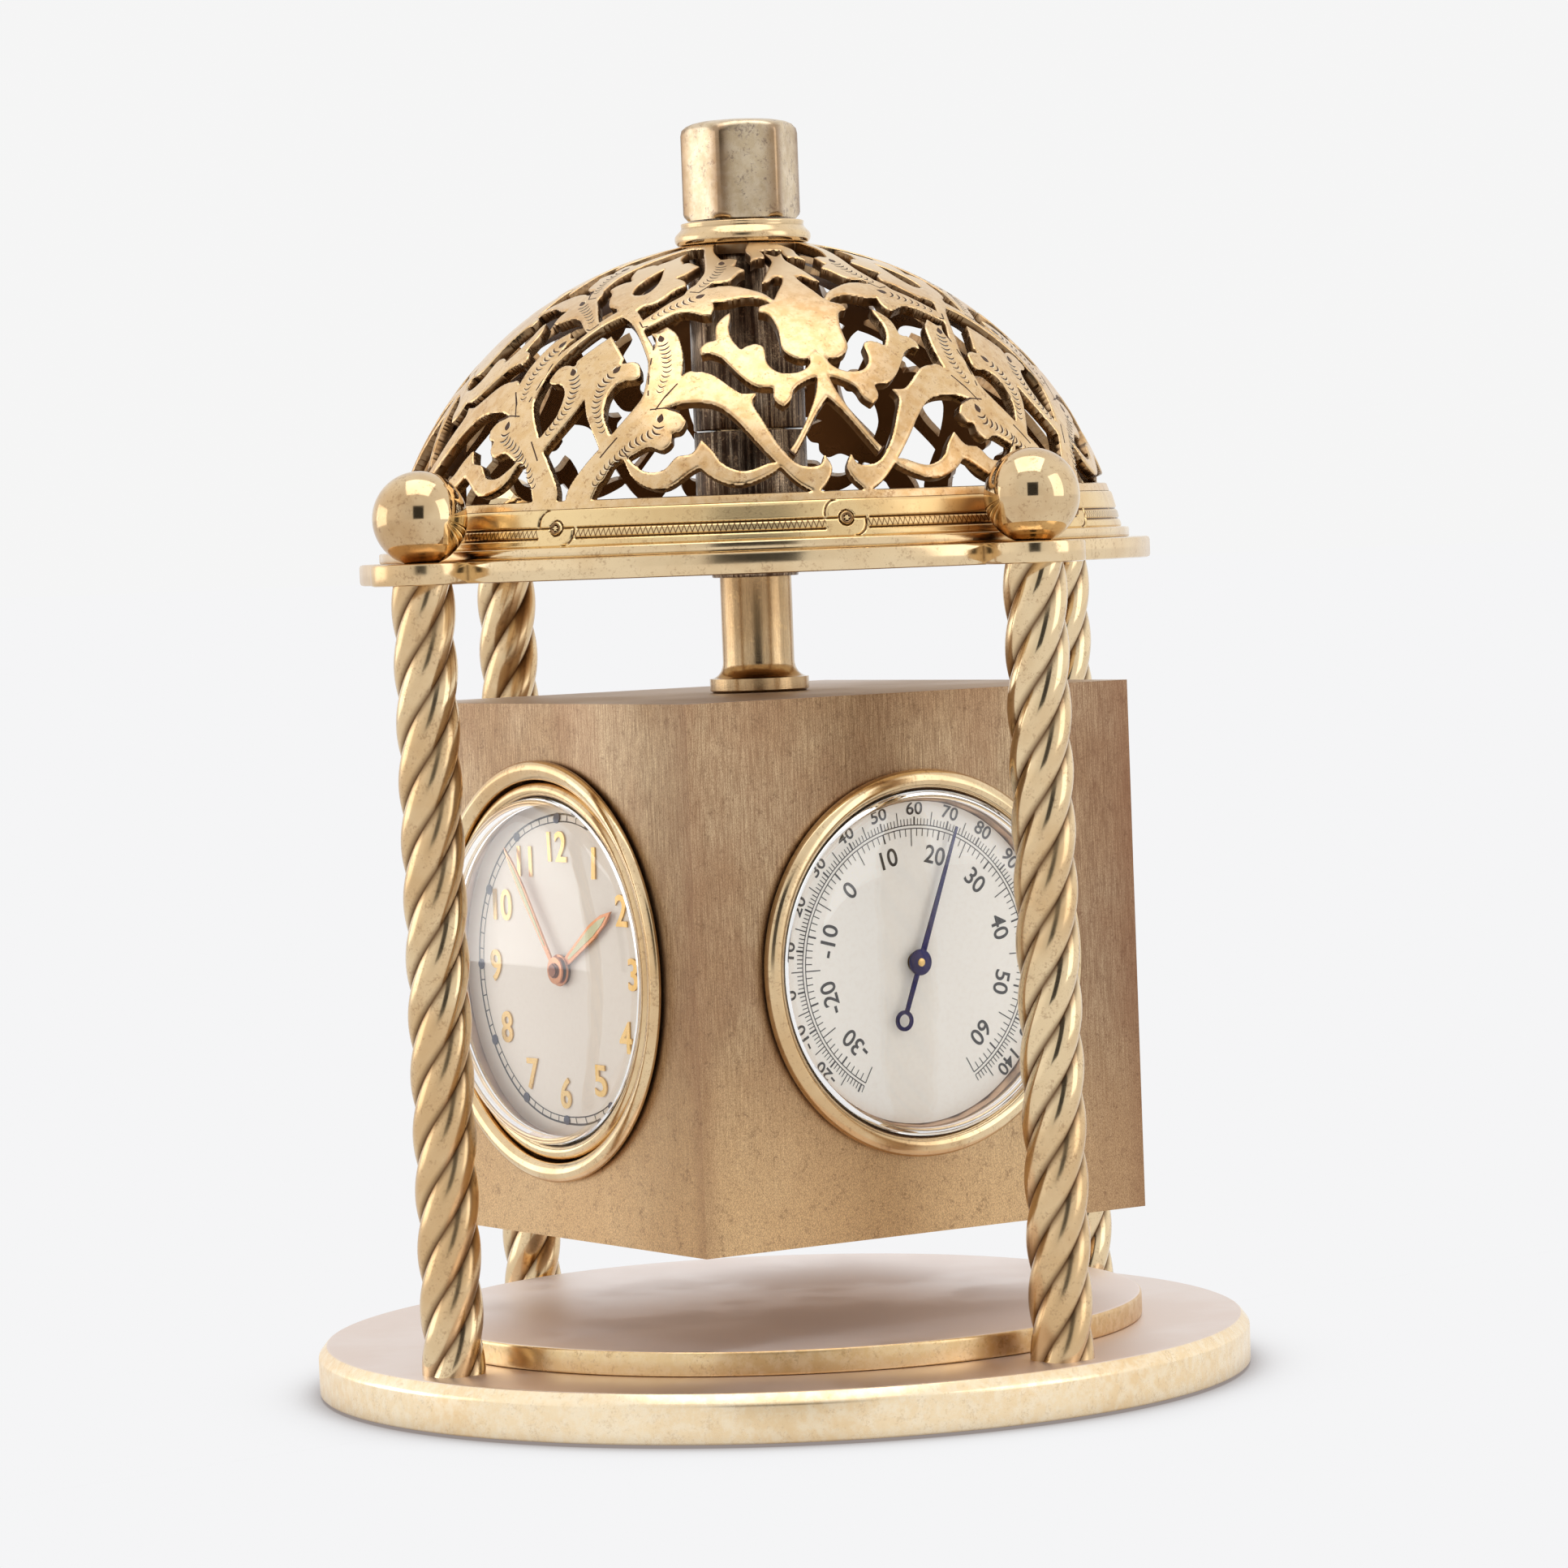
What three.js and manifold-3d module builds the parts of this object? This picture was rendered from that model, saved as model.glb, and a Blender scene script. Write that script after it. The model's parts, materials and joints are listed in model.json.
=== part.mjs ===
// Revolving cube desk clock: a brass cube holding a clock and three weather instruments hangs from a
// spindle between a round base and a top plate, which four rope-twist columns hold apart.
// Millimetres, +Z up, origin on the table under the middle of the base.

import * as THREE from 'three';
import { mergeVertices } from 'three/addons/utils/BufferGeometryUtils.js';
import Module from 'manifold-3d';

const wasm = await Module();
wasm.setup();

// Clearances
const seatGap = 0.3; // between pieces that rest on or in each other
const runningGap = 0.3; // between a turning or sliding piece and its guide
const cutOverrun = 1; // how far a cutting tool reaches past the faces it cuts

// Facets of round pieces
const largeSides = 36;
const middleSides = 24;
const smallSides = 18;
const pinSides = 8;

// Cube, which sets how wide everything round it is
const cubeSide = 70;
const cubeWall = 2;
const cubeTurn = THREE.MathUtils.degToRad(39.4); // as it stands in the rest position
const cubeDrop = 16.1; // from the top plate's underside to the cube's top
const cubeLift = 11.9; // from the disc on the base to the cube's underside
const coverThickness = 1.6;

// Base and its felt
const baseMargin = 7.24; // from the middle of a column to the rim
const baseThickness = 6.35;
const baseLift = 0.3; // the felt stands this proud of the rim
const baseBevelDrop = 1.4;
const baseBevelWidth = 1.1;
const feltMargin = 3.2; // between the felt and the rim
const feltThickness = 1.2;
const discMargin = 2.96; // between the disc and the columns
const discThickness = 3.25;
const discEdge = 0.4;

// Columns
const columnCount = 4;
const cornerClearance = 1.662525; // between the corners of the turning cube and the columns
const columnRadius = 4.1;
const columnPitch = 30; // height of one full twist
const strandsPerColumn = 4;
const strandShares = [[0, 0.82], [0.26, 1], [0.74, 1]]; // share of a strand's arc, share of the radius
const twistStepsPerTurn = 8;
const columnScrewRadius = 1.5;
const columnScrewReach = 9;
const screwHeadRadius = 3.2;
const screwHeadHeight = 2.4;
const threadHoleSpare = 1; // depth of a threaded hole past its screw

// Top plate and ball finials
const topPlateSetback = 2.46; // from the middle of a column in to the plate's round edge
const topPlateThickness = 2.8;
const earMargin = 0.5; // the ears stand this far out round the balls
const earSteps = 5;
const ballRadius = 6.1;
const ballSeatRadius = 2.2;
const ballSteps = 6;
const studRadius = 1.5;
const studReach = 8;

// Dome ring and pierced dome
const ringSetback = 2.7; // from the plate's round edge to the ring
const ringStepWidth = 1;
const ringStepHeight = 1.4;
const ringTaper = 1.2; // the band leans in by this much
const ringHeight = 6.2;
const ringWall = 3.4;
const ringCove = 0.5;
const domeLedge = 0.283751; // from the top of the ring in to the dome
const domeSheet = 1.4;
const domeRise = 34.6; // from its foot to its eye
const domeRim = 1.1; // plain band under the pattern
const domeCrown = 1; // plain band round the eye
const eyeSides = 16;
const domeSpan = Math.PI / 2; // angle that one whole pattern covers
const domeTurn = THREE.MathUtils.degToRad(-70.7); // where a palmette stands
const planTurn = 0.3; // keeps points of mirrored openings off one line for the triangulation

// Collar, sleeves, spindle and knob
const collarRadius = 9.1;
const collarNeckRadius = 8.3;
const collarHeight = 3;
const sleeveWall = 2.4;
const sleeveSplit = 0.7; // open joint between the two sleeves
const lowerSleeveHeight = 15.7; // above the top plate
const bushRadius = 5.8;
const bushDrop = 0.7; // how far the bush shows under the plate
const spindleRadius = 4.8;
const flangeRadius = 6.65;
const flangeThickness = 1.8;
const coveHeight = 2.2;
const coveSteps = 3;
const spindleThreadRadius = 3;
const nutThickness = 3;
const nutRadius = 5.5;
const knobRadius = 8.05; // across the corners
const knobHeight = 13.4;
const knobCrown = 1.5;
const knobCrownRadius = 5.2;
const knobFootBevel = 0.6;
const knobBore = 8;
const knobTurn = THREE.MathUtils.degToRad(13.7);

// Weather instruments, measured outwards from the face of the cube
const instrumentShare = 251 / 700; // of the cube's side that a bezel's radius takes
const instrumentBezelHeight = 1.8;
const instrumentBezelWidth = 2.5;
const instrumentLedge = 1; // the step inside the bezel that carries the crystal
const instrumentLedgeHeight = 0.6;
const bezelLap = 2.7; // how far the bezel covers the face round its case
const caseWall = 0.8;
const crystalThickness = 0.9;
const crystalEdgeHeight = 0.7;
const crystalRise = 2.6;
const crystalSteps = 2;
const dialThickness = 0.6;
const instrumentDialDepth = 1.7;
const dialHoleRadius = 1.3;
const arborRadius = 0.7;
const handThickness = 0.3;
const instrumentHandLift = 0.9; // from the dial to the underside of the hand
const handHubRadius = 1.6;
const handMargin = 2.9; // from the tip of the hand to the dial's edge
const handTail = 8;
const handEndWidth = 0.35;
const handNeckWidth = 0.9;
const tailRingRadius = 1.5;
const tailRingWidth = 0.55;
const shallowCaseClearance = 1.2; // to the clock's case, which passes behind it
const deepCaseClearance = 0.6; // to the cases on either side
const coilInnerRadius = 2.4;
const coilShare = 55 / 108; // of the room in its case that the coil takes
const coilTurns = 2.5;
const coilStepsPerTurn = 10;
const coilStripThickness = 0.6;
const coilStripHeight = 3;
const stripCorners = 4;
const capsuleShare = 65 / 108; // of the room in its case that the capsule takes
const capsuleThickness = 3.4;
const capsuleRipple = 0.5;
const capsuleRippleCount = 2;
const thermometerAngle = 21; // degrees clockwise from the top, at 22 degrees Celsius
const barometerAngle = 12;
const hygrometerAngle = 14;

// Clock, measured outwards from the face of the cube
const clockShare = 277 / 700; // of the cube's side that the ring's radius takes
const clockRingHeight = 1.3;
const clockRingWidth = 2.6;
const clockSleeveDepth = 8;
const clockSleeveWall = 0.8;
const insertBezelWidth = 1.8;
const insertBezelTop = 0.9;
const insertBezelHeight = 1.5;
const insertLedge = 0.8;
const clockCaseDepth = 16;
const clockCrystalRise = 4;
const clockDialDepth = 2.6;
const pipeRadius = 1.6;
const pipeWall = 0.45;
const centreArborRadius = 0.85;
const hourHandLift = 0.4;
const minuteHandLift = 1;
const centreArborLift = 1.7;
const hourHandMargin = 9.1; // from the tip of the hand to the dial's edge
const hourHandWidth = 2.1;
const hourHandHub = 2.9;
const minuteHandMargin = 4.1;
const minuteHandWidth = 1.3;
const minuteHandHub = 2.3;
const timeMinutes = 54;
const timeHours = 1;

// Movement
const movementShare = 41 / 48; // of the room in the case that the plates take
const frontPlateThickness = 1;
const backPlateThickness = 1;
const motionWorkSpace = 2.6; // between the dial and the front plate
const pillarRadius = 1.2;
const pillarMargin = 1.7; // from the middle of a pillar to the plates' edge
const pillarShares = [0.08, 0.41, 0.62]; // shares of a turn
const wheelThickness = 0.7;
const toothDepth = 0.42;
const meshPlay = 0.1; // added to the distance of two meshing wheels
const cannonTeeth = 10;
const minuteWheelTeeth = 30;
const minutePinionTeeth = 8;
const hourWheelTeeth = 32;
const motionModule = 0.3;
const barrelTeeth = 48;
const centrePinionTeeth = 8;
const barrelMargin = 0.48; // from the barrel's teeth to the plates' edge
const wheelClearance = 0.8; // between the centre wheel and the balance
const drumSetback = 0.8; // from the barrel's pitch circle in to its drum
const trainClearance = 1.7; // between the balance and the front plate
const barrelBore = 2;
const balanceShare = 52 / 205; // of the plates' radius that the balance takes
const balanceRimWidth = 0.9;
const balanceArmWidth = 1;
const balanceAngle = THREE.MathUtils.degToRad(-50);
const balancePlaceShare = 24 / 41; // how far out the balance stands, of the plates' radius
const keyArborRadius = 1.1;
const keyReach = 5;
const keyWingWidth = 9;
const keyWingHeight = 4;
const keyWingThickness = 1.2;
const setKnobRadius = 3;
const setKnobHeight = 2.5;
const setKnobReach = 1.5;

// Heights and radii that follow from the sizes above
const columnCircle = cubeSide / Math.SQRT2 + cornerClearance + columnRadius;
const baseRadius = columnCircle + baseMargin;
const feltRadius = baseRadius - feltMargin;
const discRadius = columnCircle - columnRadius - discMargin;
const columnLength = discThickness + cubeLift + cubeSide + cubeDrop;
const topPlateRadius = columnCircle - topPlateSetback;
const earRadius = ballRadius + earMargin;
const ringStepRadius = topPlateRadius - ringSetback;
const ringBandRadius = ringStepRadius - ringStepWidth;
const ringTopRadius = ringBandRadius - ringTaper;
const baseTop = baseLift + baseThickness;
const columnTop = baseTop + columnLength;
const topPlateTop = columnTop + topPlateThickness;
const domeFoot = topPlateTop + ringHeight;
const domeFootRadius = ringTopRadius - domeLedge;
const spindleBore = spindleRadius + runningGap;
const sleeveRadius = spindleBore + sleeveWall;
const eyeRadius = sleeveRadius + seatGap;
const domeClimb = (eyeRadius ** 2 + domeRise ** 2 - domeFootRadius ** 2) / (2 * domeRise);
const domeCentre = domeFoot + domeClimb;
const domeRadius = Math.hypot(domeFootRadius, domeClimb);
const domeInner = domeRadius - domeSheet;
const collarFoot = domeFoot + domeRise;
const collarTop = collarFoot + collarHeight;
const knobFoot = collarTop + runningGap;
const cubeTop = columnTop - cubeDrop;
const cubeMiddle = cubeTop - cubeSide / 2;
const instrumentBezelRadius = cubeSide * instrumentShare;
const instrumentCaseRadius = instrumentBezelRadius - bezelLap;
const instrumentDialRadius = instrumentCaseRadius - caseWall - seatGap;
const handLength = instrumentDialRadius - handMargin;
const coilOuterRadius = (instrumentCaseRadius - caseWall) * coilShare;
const capsuleRadius = (instrumentCaseRadius - caseWall) * capsuleShare;
const deepCaseDepth = cubeSide / 2 - instrumentCaseRadius - deepCaseClearance;
const clockRingRadius = cubeSide * clockShare;
const clockSleeveInner = clockRingRadius - clockRingWidth;
const clockCaseRadius = clockSleeveInner - runningGap;
const clockSleeveOuter = clockSleeveInner + clockSleeveWall;
const shallowCaseDepth = cubeSide / 2 - clockCaseRadius - shallowCaseClearance;
const clockDialRadius = clockCaseRadius - caseWall - seatGap;
const hourHandLength = clockDialRadius - hourHandMargin;
const minuteHandLength = clockDialRadius - minuteHandMargin;
const frontPlateFoot = -clockDialDepth - dialThickness - motionWorkSpace - frontPlateThickness;
const backPlateTop = caseWall - clockCaseDepth + seatGap + backPlateThickness;
const barrelDrumHeight = frontPlateFoot - backPlateTop - 2 * (seatGap + wheelThickness) - trainClearance;
const movementPlateRadius = (clockCaseRadius - caseWall) * movementShare;
const pillarCircle = movementPlateRadius - pillarMargin;
const goingReach = movementPlateRadius - barrelMargin - meshPlay - toothDepth;
const goingModule = goingReach / (barrelTeeth + centrePinionTeeth / 2);
const barrelDrumRadius = (goingModule * barrelTeeth) / 2 - drumSetback;
const balanceRadius = movementPlateRadius * balanceShare;
const balanceCircle = movementPlateRadius * balancePlaceShare;
const centreWheelRadius = balanceCircle - balanceRadius - wheelClearance;

// Colours from the aged brass, the polished trim, the dials and the hands
const finishes = {
  goldenBrass: { color: 0xd9b878, roughness: 0.32, metalness: 1 },
  brushedBrass: { color: 0xa88d6b, roughness: 0.5, metalness: 1 },
  polishedBrass: { color: 0xe6cf9a, roughness: 0.15, metalness: 1 },
  darkBrass: { color: 0x6b5238, roughness: 0.55, metalness: 1 },
  steel: { color: 0x9a9a9c, roughness: 0.35, metalness: 1 },
  bluedSteel: { color: 0x2c3364, roughness: 0.3, metalness: 1 },
  copper: { color: 0xc98a5c, roughness: 0.3, metalness: 1 },
  dial: { color: 0xe8dfcb, roughness: 0.6, metalness: 0 },
  crystal: { color: 0xf4f4f0, roughness: 0.05, metalness: 0, transparent: true, opacity: 0.3 },
  felt: { color: 0x2f4a38, roughness: 0.95, metalness: 0 },
};

// A closed body: shared vertices merged, empty triangles dropped, faces turned outwards
function closedBody(geometry) {
  const bare = new THREE.BufferGeometry();
  bare.setAttribute('position', geometry.getAttribute('position'));
  bare.setIndex(geometry.getIndex());
  const merged = mergeVertices(bare);
  const corners = merged.getIndex().array;
  const kept = [];
  for (let i = 0; i < corners.length; i += 3) {
    const [a, b, c] = [corners[i], corners[i + 1], corners[i + 2]];
    if (a !== b && b !== c && c !== a) kept.push(a, b, c);
  }
  merged.setIndex(kept);
  if (signedVolume(merged) < 0) merged.setIndex(kept.reverse());
  return merged;
}

function signedVolume(geometry) {
  const place = geometry.getAttribute('position');
  const corners = geometry.getIndex().array;
  const [a, b, c] = [new THREE.Vector3(), new THREE.Vector3(), new THREE.Vector3()];
  let sum = 0;
  for (let i = 0; i < corners.length; i += 3) {
    a.fromBufferAttribute(place, corners[i]);
    b.fromBufferAttribute(place, corners[i + 1]);
    c.fromBufferAttribute(place, corners[i + 2]);
    sum += a.dot(b.cross(c));
  }
  return sum / 6;
}

function toSolid(geometry) {
  const vertProperties = new Float32Array(geometry.getAttribute('position').array);
  const triVerts = new Uint32Array(geometry.getIndex().array);
  return new wasm.Manifold(new wasm.Mesh({ numProp: 3, vertProperties, triVerts }));
}

function fromSolid(solid) {
  const mesh = solid.getMesh();
  const geometry = new THREE.BufferGeometry();
  geometry.setAttribute('position', new THREE.BufferAttribute(mesh.vertProperties, mesh.numProp));
  geometry.setIndex([...mesh.triVerts]);
  return closedBody(geometry);
}

function cut(body, tools) {
  let solid = toSolid(body);
  for (const tool of tools) solid = solid.subtract(toSolid(tool));
  return fromSolid(solid);
}

function join(bodies) {
  let solid = toSolid(bodies[0]);
  for (const body of bodies.slice(1)) solid = solid.add(toSolid(body));
  return fromSolid(solid);
}

// A profile of [radius, height] points turned about Z: it starts and ends on the axis, or closes into a ring
function revolve(profile, sides) {
  const points = profile.map(([radius, height]) => new THREE.Vector2(radius, height));
  const onAxis = profile[0][0] === 0 && profile[profile.length - 1][0] === 0;
  if (!onAxis) points.push(points[0].clone());
  return closedBody(new THREE.LatheGeometry(points, sides).rotateX(Math.PI / 2));
}

function disc(radius, foot, top, sides) {
  return revolve([[0, foot], [radius, foot], [radius, top], [0, top]], sides);
}

function washer(inner, outer, foot, top, sides) {
  return revolve([[inner, foot], [outer, foot], [outer, top], [inner, top]], sides);
}

function box(width, depth, height) {
  return closedBody(new THREE.BoxGeometry(width, depth, height));
}

function plate(shape, foot, thickness, curveSegments) {
  const settings = { depth: thickness, bevelEnabled: false, curveSegments };
  return closedBody(new THREE.ExtrudeGeometry(shape, settings).translate(0, 0, foot));
}

// Points of an arc in a profile, from one angle above the horizontal to another
function arc(centreHeight, radius, from, to, steps, centreRadius = 0) {
  const points = [];
  for (let i = 0; i <= steps; i += 1) {
    const angle = from + ((to - from) * i) / steps;
    points.push([centreRadius + radius * Math.cos(angle), centreHeight + radius * Math.sin(angle)]);
  }
  return points;
}

const clock = new THREE.Group();

function addPiece(group, name, geometry, finish) {
  const mesh = new THREE.Mesh(geometry, new THREE.MeshStandardMaterial(finishes[finish]));
  mesh.name = name;
  group.add(mesh);
  return mesh;
}

const columnPlaces = [
  ['back_right', 0],
  ['back_left', 1],
  ['front_left', 2],
  ['front_right', 3],
].map(([side, quarter]) => {
  const angle = (2 * Math.PI * (quarter + 0.5)) / columnCount;
  return { side, angle, x: columnCircle * Math.cos(angle), y: columnCircle * Math.sin(angle) };
});

// Base: felt, turned plate with a bevelled edge, and the raised disc
function buildBase() {
  const felt = disc(feltRadius, 0, feltThickness, largeSides);
  addPiece(clock, 'base_felt', felt, 'felt');

  const recessRadius = feltRadius + seatGap;
  const body = revolve([
    [0, feltThickness],
    [recessRadius, feltThickness],
    [recessRadius, baseLift],
    [baseRadius, baseLift],
    [baseRadius, baseTop - baseBevelDrop],
    [baseRadius - baseBevelWidth, baseTop],
    [0, baseTop],
  ], largeSides);
  const holes = columnPlaces.flatMap(({ x, y }) => {
    const shaft = disc(columnScrewRadius + seatGap, feltThickness, baseTop + cutOverrun, pinSides);
    const headTop = feltThickness + screwHeadHeight + seatGap;
    const head = disc(screwHeadRadius + seatGap, feltThickness - cutOverrun, headTop, pinSides);
    return [shaft.translate(x, y, 0), head.translate(x, y, 0)];
  });
  addPiece(clock, 'base_plate', cut(body, holes), 'goldenBrass');

  const discTop = baseTop + discThickness;
  const raised = revolve([
    [0, baseTop],
    [discRadius, baseTop],
    [discRadius, discTop - discEdge],
    [discRadius - discEdge, discTop],
    [0, discTop],
  ], largeSides);
  addPiece(clock, 'base_disc', raised, 'goldenBrass');
}

// One rope-twist column: a scalloped section that turns as it climbs, with threaded holes in both ends
function columnBody() {
  const stepCount = Math.round((columnLength / columnPitch) * twistStepsPerTurn);
  const section = [];
  for (let strand = 0; strand < strandsPerColumn; strand += 1) {
    for (const [arcShare, radiusShare] of strandShares) {
      section.push([(2 * Math.PI * (strand + arcShare)) / strandsPerColumn, columnRadius * radiusShare]);
    }
  }
  const places = [];
  const corners = [];
  for (let step = 0; step <= stepCount; step += 1) {
    const height = (columnLength * step) / stepCount;
    const twist = (2 * Math.PI * height) / columnPitch;
    for (const [angle, radius] of section) {
      places.push(radius * Math.cos(angle + twist), radius * Math.sin(angle + twist), baseTop + height);
    }
  }
  for (let step = 0; step < stepCount; step += 1) {
    for (let i = 0; i < section.length; i += 1) {
      const next = (i + 1) % section.length;
      const low = step * section.length;
      const high = low + section.length;
      corners.push(low + i, low + next, high + i, low + next, high + next, high + i);
    }
  }
  const lastRing = stepCount * section.length;
  for (let i = 1; i < section.length - 1; i += 1) {
    corners.push(0, i + 1, i, lastRing, lastRing + i, lastRing + i + 1);
  }
  const geometry = new THREE.BufferGeometry();
  geometry.setAttribute('position', new THREE.Float32BufferAttribute(places, 3));
  geometry.setIndex(corners);
  const footReach = columnScrewReach + threadHoleSpare;
  const topReach = studReach - topPlateThickness + threadHoleSpare;
  return cut(closedBody(geometry), [
    disc(columnScrewRadius + seatGap, baseTop - cutOverrun, baseTop + footReach, pinSides),
    disc(studRadius + seatGap, columnTop - topReach, columnTop + cutOverrun, pinSides),
  ]);
}

function buildColumns() {
  const body = columnBody();
  const screwFoot = feltThickness + seatGap;
  const screw = revolve([
    [0, screwFoot],
    [screwHeadRadius, screwFoot],
    [screwHeadRadius, feltThickness + screwHeadHeight],
    [columnScrewRadius, feltThickness + screwHeadHeight],
    [columnScrewRadius, baseTop + columnScrewReach],
    [0, baseTop + columnScrewReach],
  ], pinSides);
  const centre = topPlateTop + Math.sqrt(ballRadius ** 2 - ballSeatRadius ** 2);
  const lowest = -Math.acos(ballSeatRadius / ballRadius);
  const ball = revolve([
    [0, topPlateTop - studReach],
    [studRadius, topPlateTop - studReach],
    [studRadius, topPlateTop],
    ...arc(centre, ballRadius, lowest, Math.PI / 2, ballSteps).slice(0, -1),
    [0, centre + ballRadius],
  ], pinSides + strandsPerColumn);
  for (const { side, angle, x, y } of columnPlaces) {
    addPiece(clock, `column_${side}`, body.clone(), 'polishedBrass').position.set(x, y, 0);
    addPiece(clock, `column_screw_${side}`, screw.clone(), 'steel').position.set(x, y, 0);
    addPiece(clock, `ball_finial_${side}`, ball.clone(), 'polishedBrass').position.set(x, y, 0);
    clock.getObjectByName(`column_${side}`).rotation.z = angle;
  }
}

// Top plate: a round plate with an ear over each column
function buildTopPlate() {
  const reach = (topPlateRadius ** 2 + columnCircle ** 2 - earRadius ** 2) / (2 * columnCircle);
  const half = Math.acos(reach / topPlateRadius);
  const side = Math.atan2(topPlateRadius * Math.sin(half), reach - columnCircle);
  const shape = new THREE.Shape();
  columnPlaces.forEach(({ angle, x, y }, i) => {
    const nextAngle = angle + (2 * Math.PI) / columnCount;
    if (i === 0) shape.moveTo(x + earRadius * Math.cos(angle - side), y + earRadius * Math.sin(angle - side));
    shape.absarc(x, y, earRadius, angle - side, angle + side, false);
    shape.absarc(0, 0, topPlateRadius, angle + half, nextAngle - half, false);
  });
  for (const { x, y } of columnPlaces) {
    shape.holes.push(new THREE.Path().absarc(x, y, studRadius + seatGap, 0, 2 * Math.PI, true));
  }
  shape.holes.push(new THREE.Path().absarc(0, 0, bushRadius + seatGap, 0, 2 * Math.PI, true));
  addPiece(clock, 'top_plate', plate(shape, columnTop, topPlateThickness, earSteps), 'goldenBrass');
}

// Openings of the pierced dome. Each point is a share of half a pattern's width, from the double leaf to
// the palmette, and a share of the pattern's height. Those on an axis are halves that are mirrored.
const leafAxisShares = [
  [[0, 0.76], [0.06, 0.7], [0.06, 0.65], [0, 0.62]],
  [[0, 0.55], [0.15, 0.46], [0.255, 0.35], [0.25, 0.27], [0.16, 0.17], [0.105, 0.22], [0.11, 0.28],
    [0.21, 0.34], [0.07, 0.43], [0, 0.465]],
  [[0, 0.265], [0.11, 0.136], [0.02, 0.02], [0, 0.01]],
];
const palmetteAxisShares = [
  [[1, 0.885], [0.87, 0.88], [0.93, 0.845], [1, 0.82]],
  [[1, 0.25], [0.845, 0.09], [0.89, 0.06], [0.95, 0.09], [0.976, 0.056], [0.94, 0.01], [1, 0.01]],
];
const sideShares = [
  [[0.02, 0.92], [0.1, 0.925], [0.25, 0.86], [0.385, 0.73], [0.345, 0.65], [0.12, 0.52], [0.09, 0.56],
    [0.295, 0.66], [0.23, 0.7], [0.305, 0.77], [0.03, 0.85]],
  [[0.2, 0.95], [0.355, 0.87], [0.63, 0.806], [0.6, 0.76], [0.7, 0.734], [0.46, 0.66], [0.66, 0.645],
    [0.84, 0.58], [0.94, 0.67], [0.8, 0.657], [0.935, 0.79], [0.745, 0.782], [0.72, 0.89], [0.82, 0.955]],
  [[0.2, 0.484], [0.46, 0.522], [0.51, 0.575], [0.69, 0.59], [0.83, 0.564], [0.85, 0.39], [0.965, 0.36],
    [0.84, 0.318], [0.76, 0.405], [0.66, 0.4], [0.61, 0.53], [0.54, 0.478], [0.54, 0.382], [0.72, 0.28],
    [0.825, 0.22], [0.97, 0.3], [0.82, 0.107], [0.705, 0.23], [0.54, 0.325], [0.415, 0.33],
    [0.345, 0.465]],
  [[0.37, 0.226], [0.58, 0.22], [0.767, 0.079], [0.69, 0.056], [0.51, 0.14], [0.378, 0.066],
    [0.25, 0.1], [0.367, 0.115]],
  [[0.104, 0.005], [0.204, 0.088], [0.35, 0.02], [0.507, 0.067], [0.62, 0.02], [0.784, 0.059],
    [0.9, 0.006]],
];

// A place on the dome: a flat point that stands as far from the middle as its angle from the top
function flatPlace(across, up, turn, mirrored) {
  const footAngle = Math.acos((domeFoot + domeRim - domeCentre) / domeRadius);
  const topAngle = Math.asin((eyeRadius + domeCrown) / domeRadius);
  const along = ((across - 1) * domeSpan) / 2;
  const azimuth = turn + (mirrored ? -along : along);
  const polar = footAngle + (topAngle - footAngle) * up;
  return new THREE.Vector2(polar * Math.cos(azimuth), polar * Math.sin(azimuth));
}

function flatCircle(polar, sides) {
  const points = [];
  for (let i = 0; i < sides; i += 1) {
    const azimuth = (2 * Math.PI * i) / sides;
    points.push(new THREE.Vector2(polar * Math.cos(azimuth), polar * Math.sin(azimuth)));
  }
  return points;
}

// Pierced sheet between two spheres: faces triangulated in the flat, walls round every opening
function piercedSheet(foot, eye, openings) {
  const holes = [eye, ...openings];
  const middle = new THREE.Vector2();
  const turned = (loop) => loop.map((point) => point.clone().rotateAround(middle, planTurn));
  const faces = THREE.ShapeUtils.triangulateShape(turned(foot), holes.map(turned));
  const flat = [...foot, ...holes.flat()];
  const count = flat.length;
  const places = [];
  for (const radius of [domeRadius, domeInner]) {
    flat.forEach((point, i) => {
      const azimuth = Math.atan2(point.y, point.x);
      if (i < foot.length) {
        const out = Math.sqrt(radius ** 2 - (domeFoot - domeCentre) ** 2);
        places.push(out * Math.cos(azimuth), out * Math.sin(azimuth), domeFoot);
      } else if (i < foot.length + eye.length) {
        const climb = Math.sqrt(radius ** 2 - eyeRadius ** 2);
        places.push(eyeRadius * Math.cos(azimuth), eyeRadius * Math.sin(azimuth), domeCentre + climb);
      } else {
        const out = radius * Math.sin(point.length());
        const climb = radius * Math.cos(point.length());
        places.push(out * Math.cos(azimuth), out * Math.sin(azimuth), domeCentre + climb);
      }
    });
  }
  const corners = [];
  const outerIsUp = (a, b, c) => flat[b].clone().sub(flat[a]).cross(flat[c].clone().sub(flat[a])) > 0;
  for (const [a, b, c] of faces) {
    if (outerIsUp(a, b, c)) corners.push(a, b, c, c + count, b + count, a + count);
    else corners.push(c, b, a, a + count, b + count, c + count);
  }
  let first = 0;
  [foot, ...holes].forEach((loop, number) => {
    const turnsLeft = THREE.ShapeUtils.area(loop) > 0;
    for (let i = 0; i < loop.length; i += 1) {
      const a = first + i;
      const b = first + ((i + 1) % loop.length);
      const outward = (number === 0) === turnsLeft;
      if (outward) corners.push(a, a + count, b, b, a + count, b + count);
      else corners.push(b, a + count, a, b, b + count, a + count);
    }
    first += loop.length;
  });
  const geometry = new THREE.BufferGeometry();
  geometry.setAttribute('position', new THREE.Float32BufferAttribute(places, 3));
  geometry.setIndex(corners);
  return closedBody(geometry);
}

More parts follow.
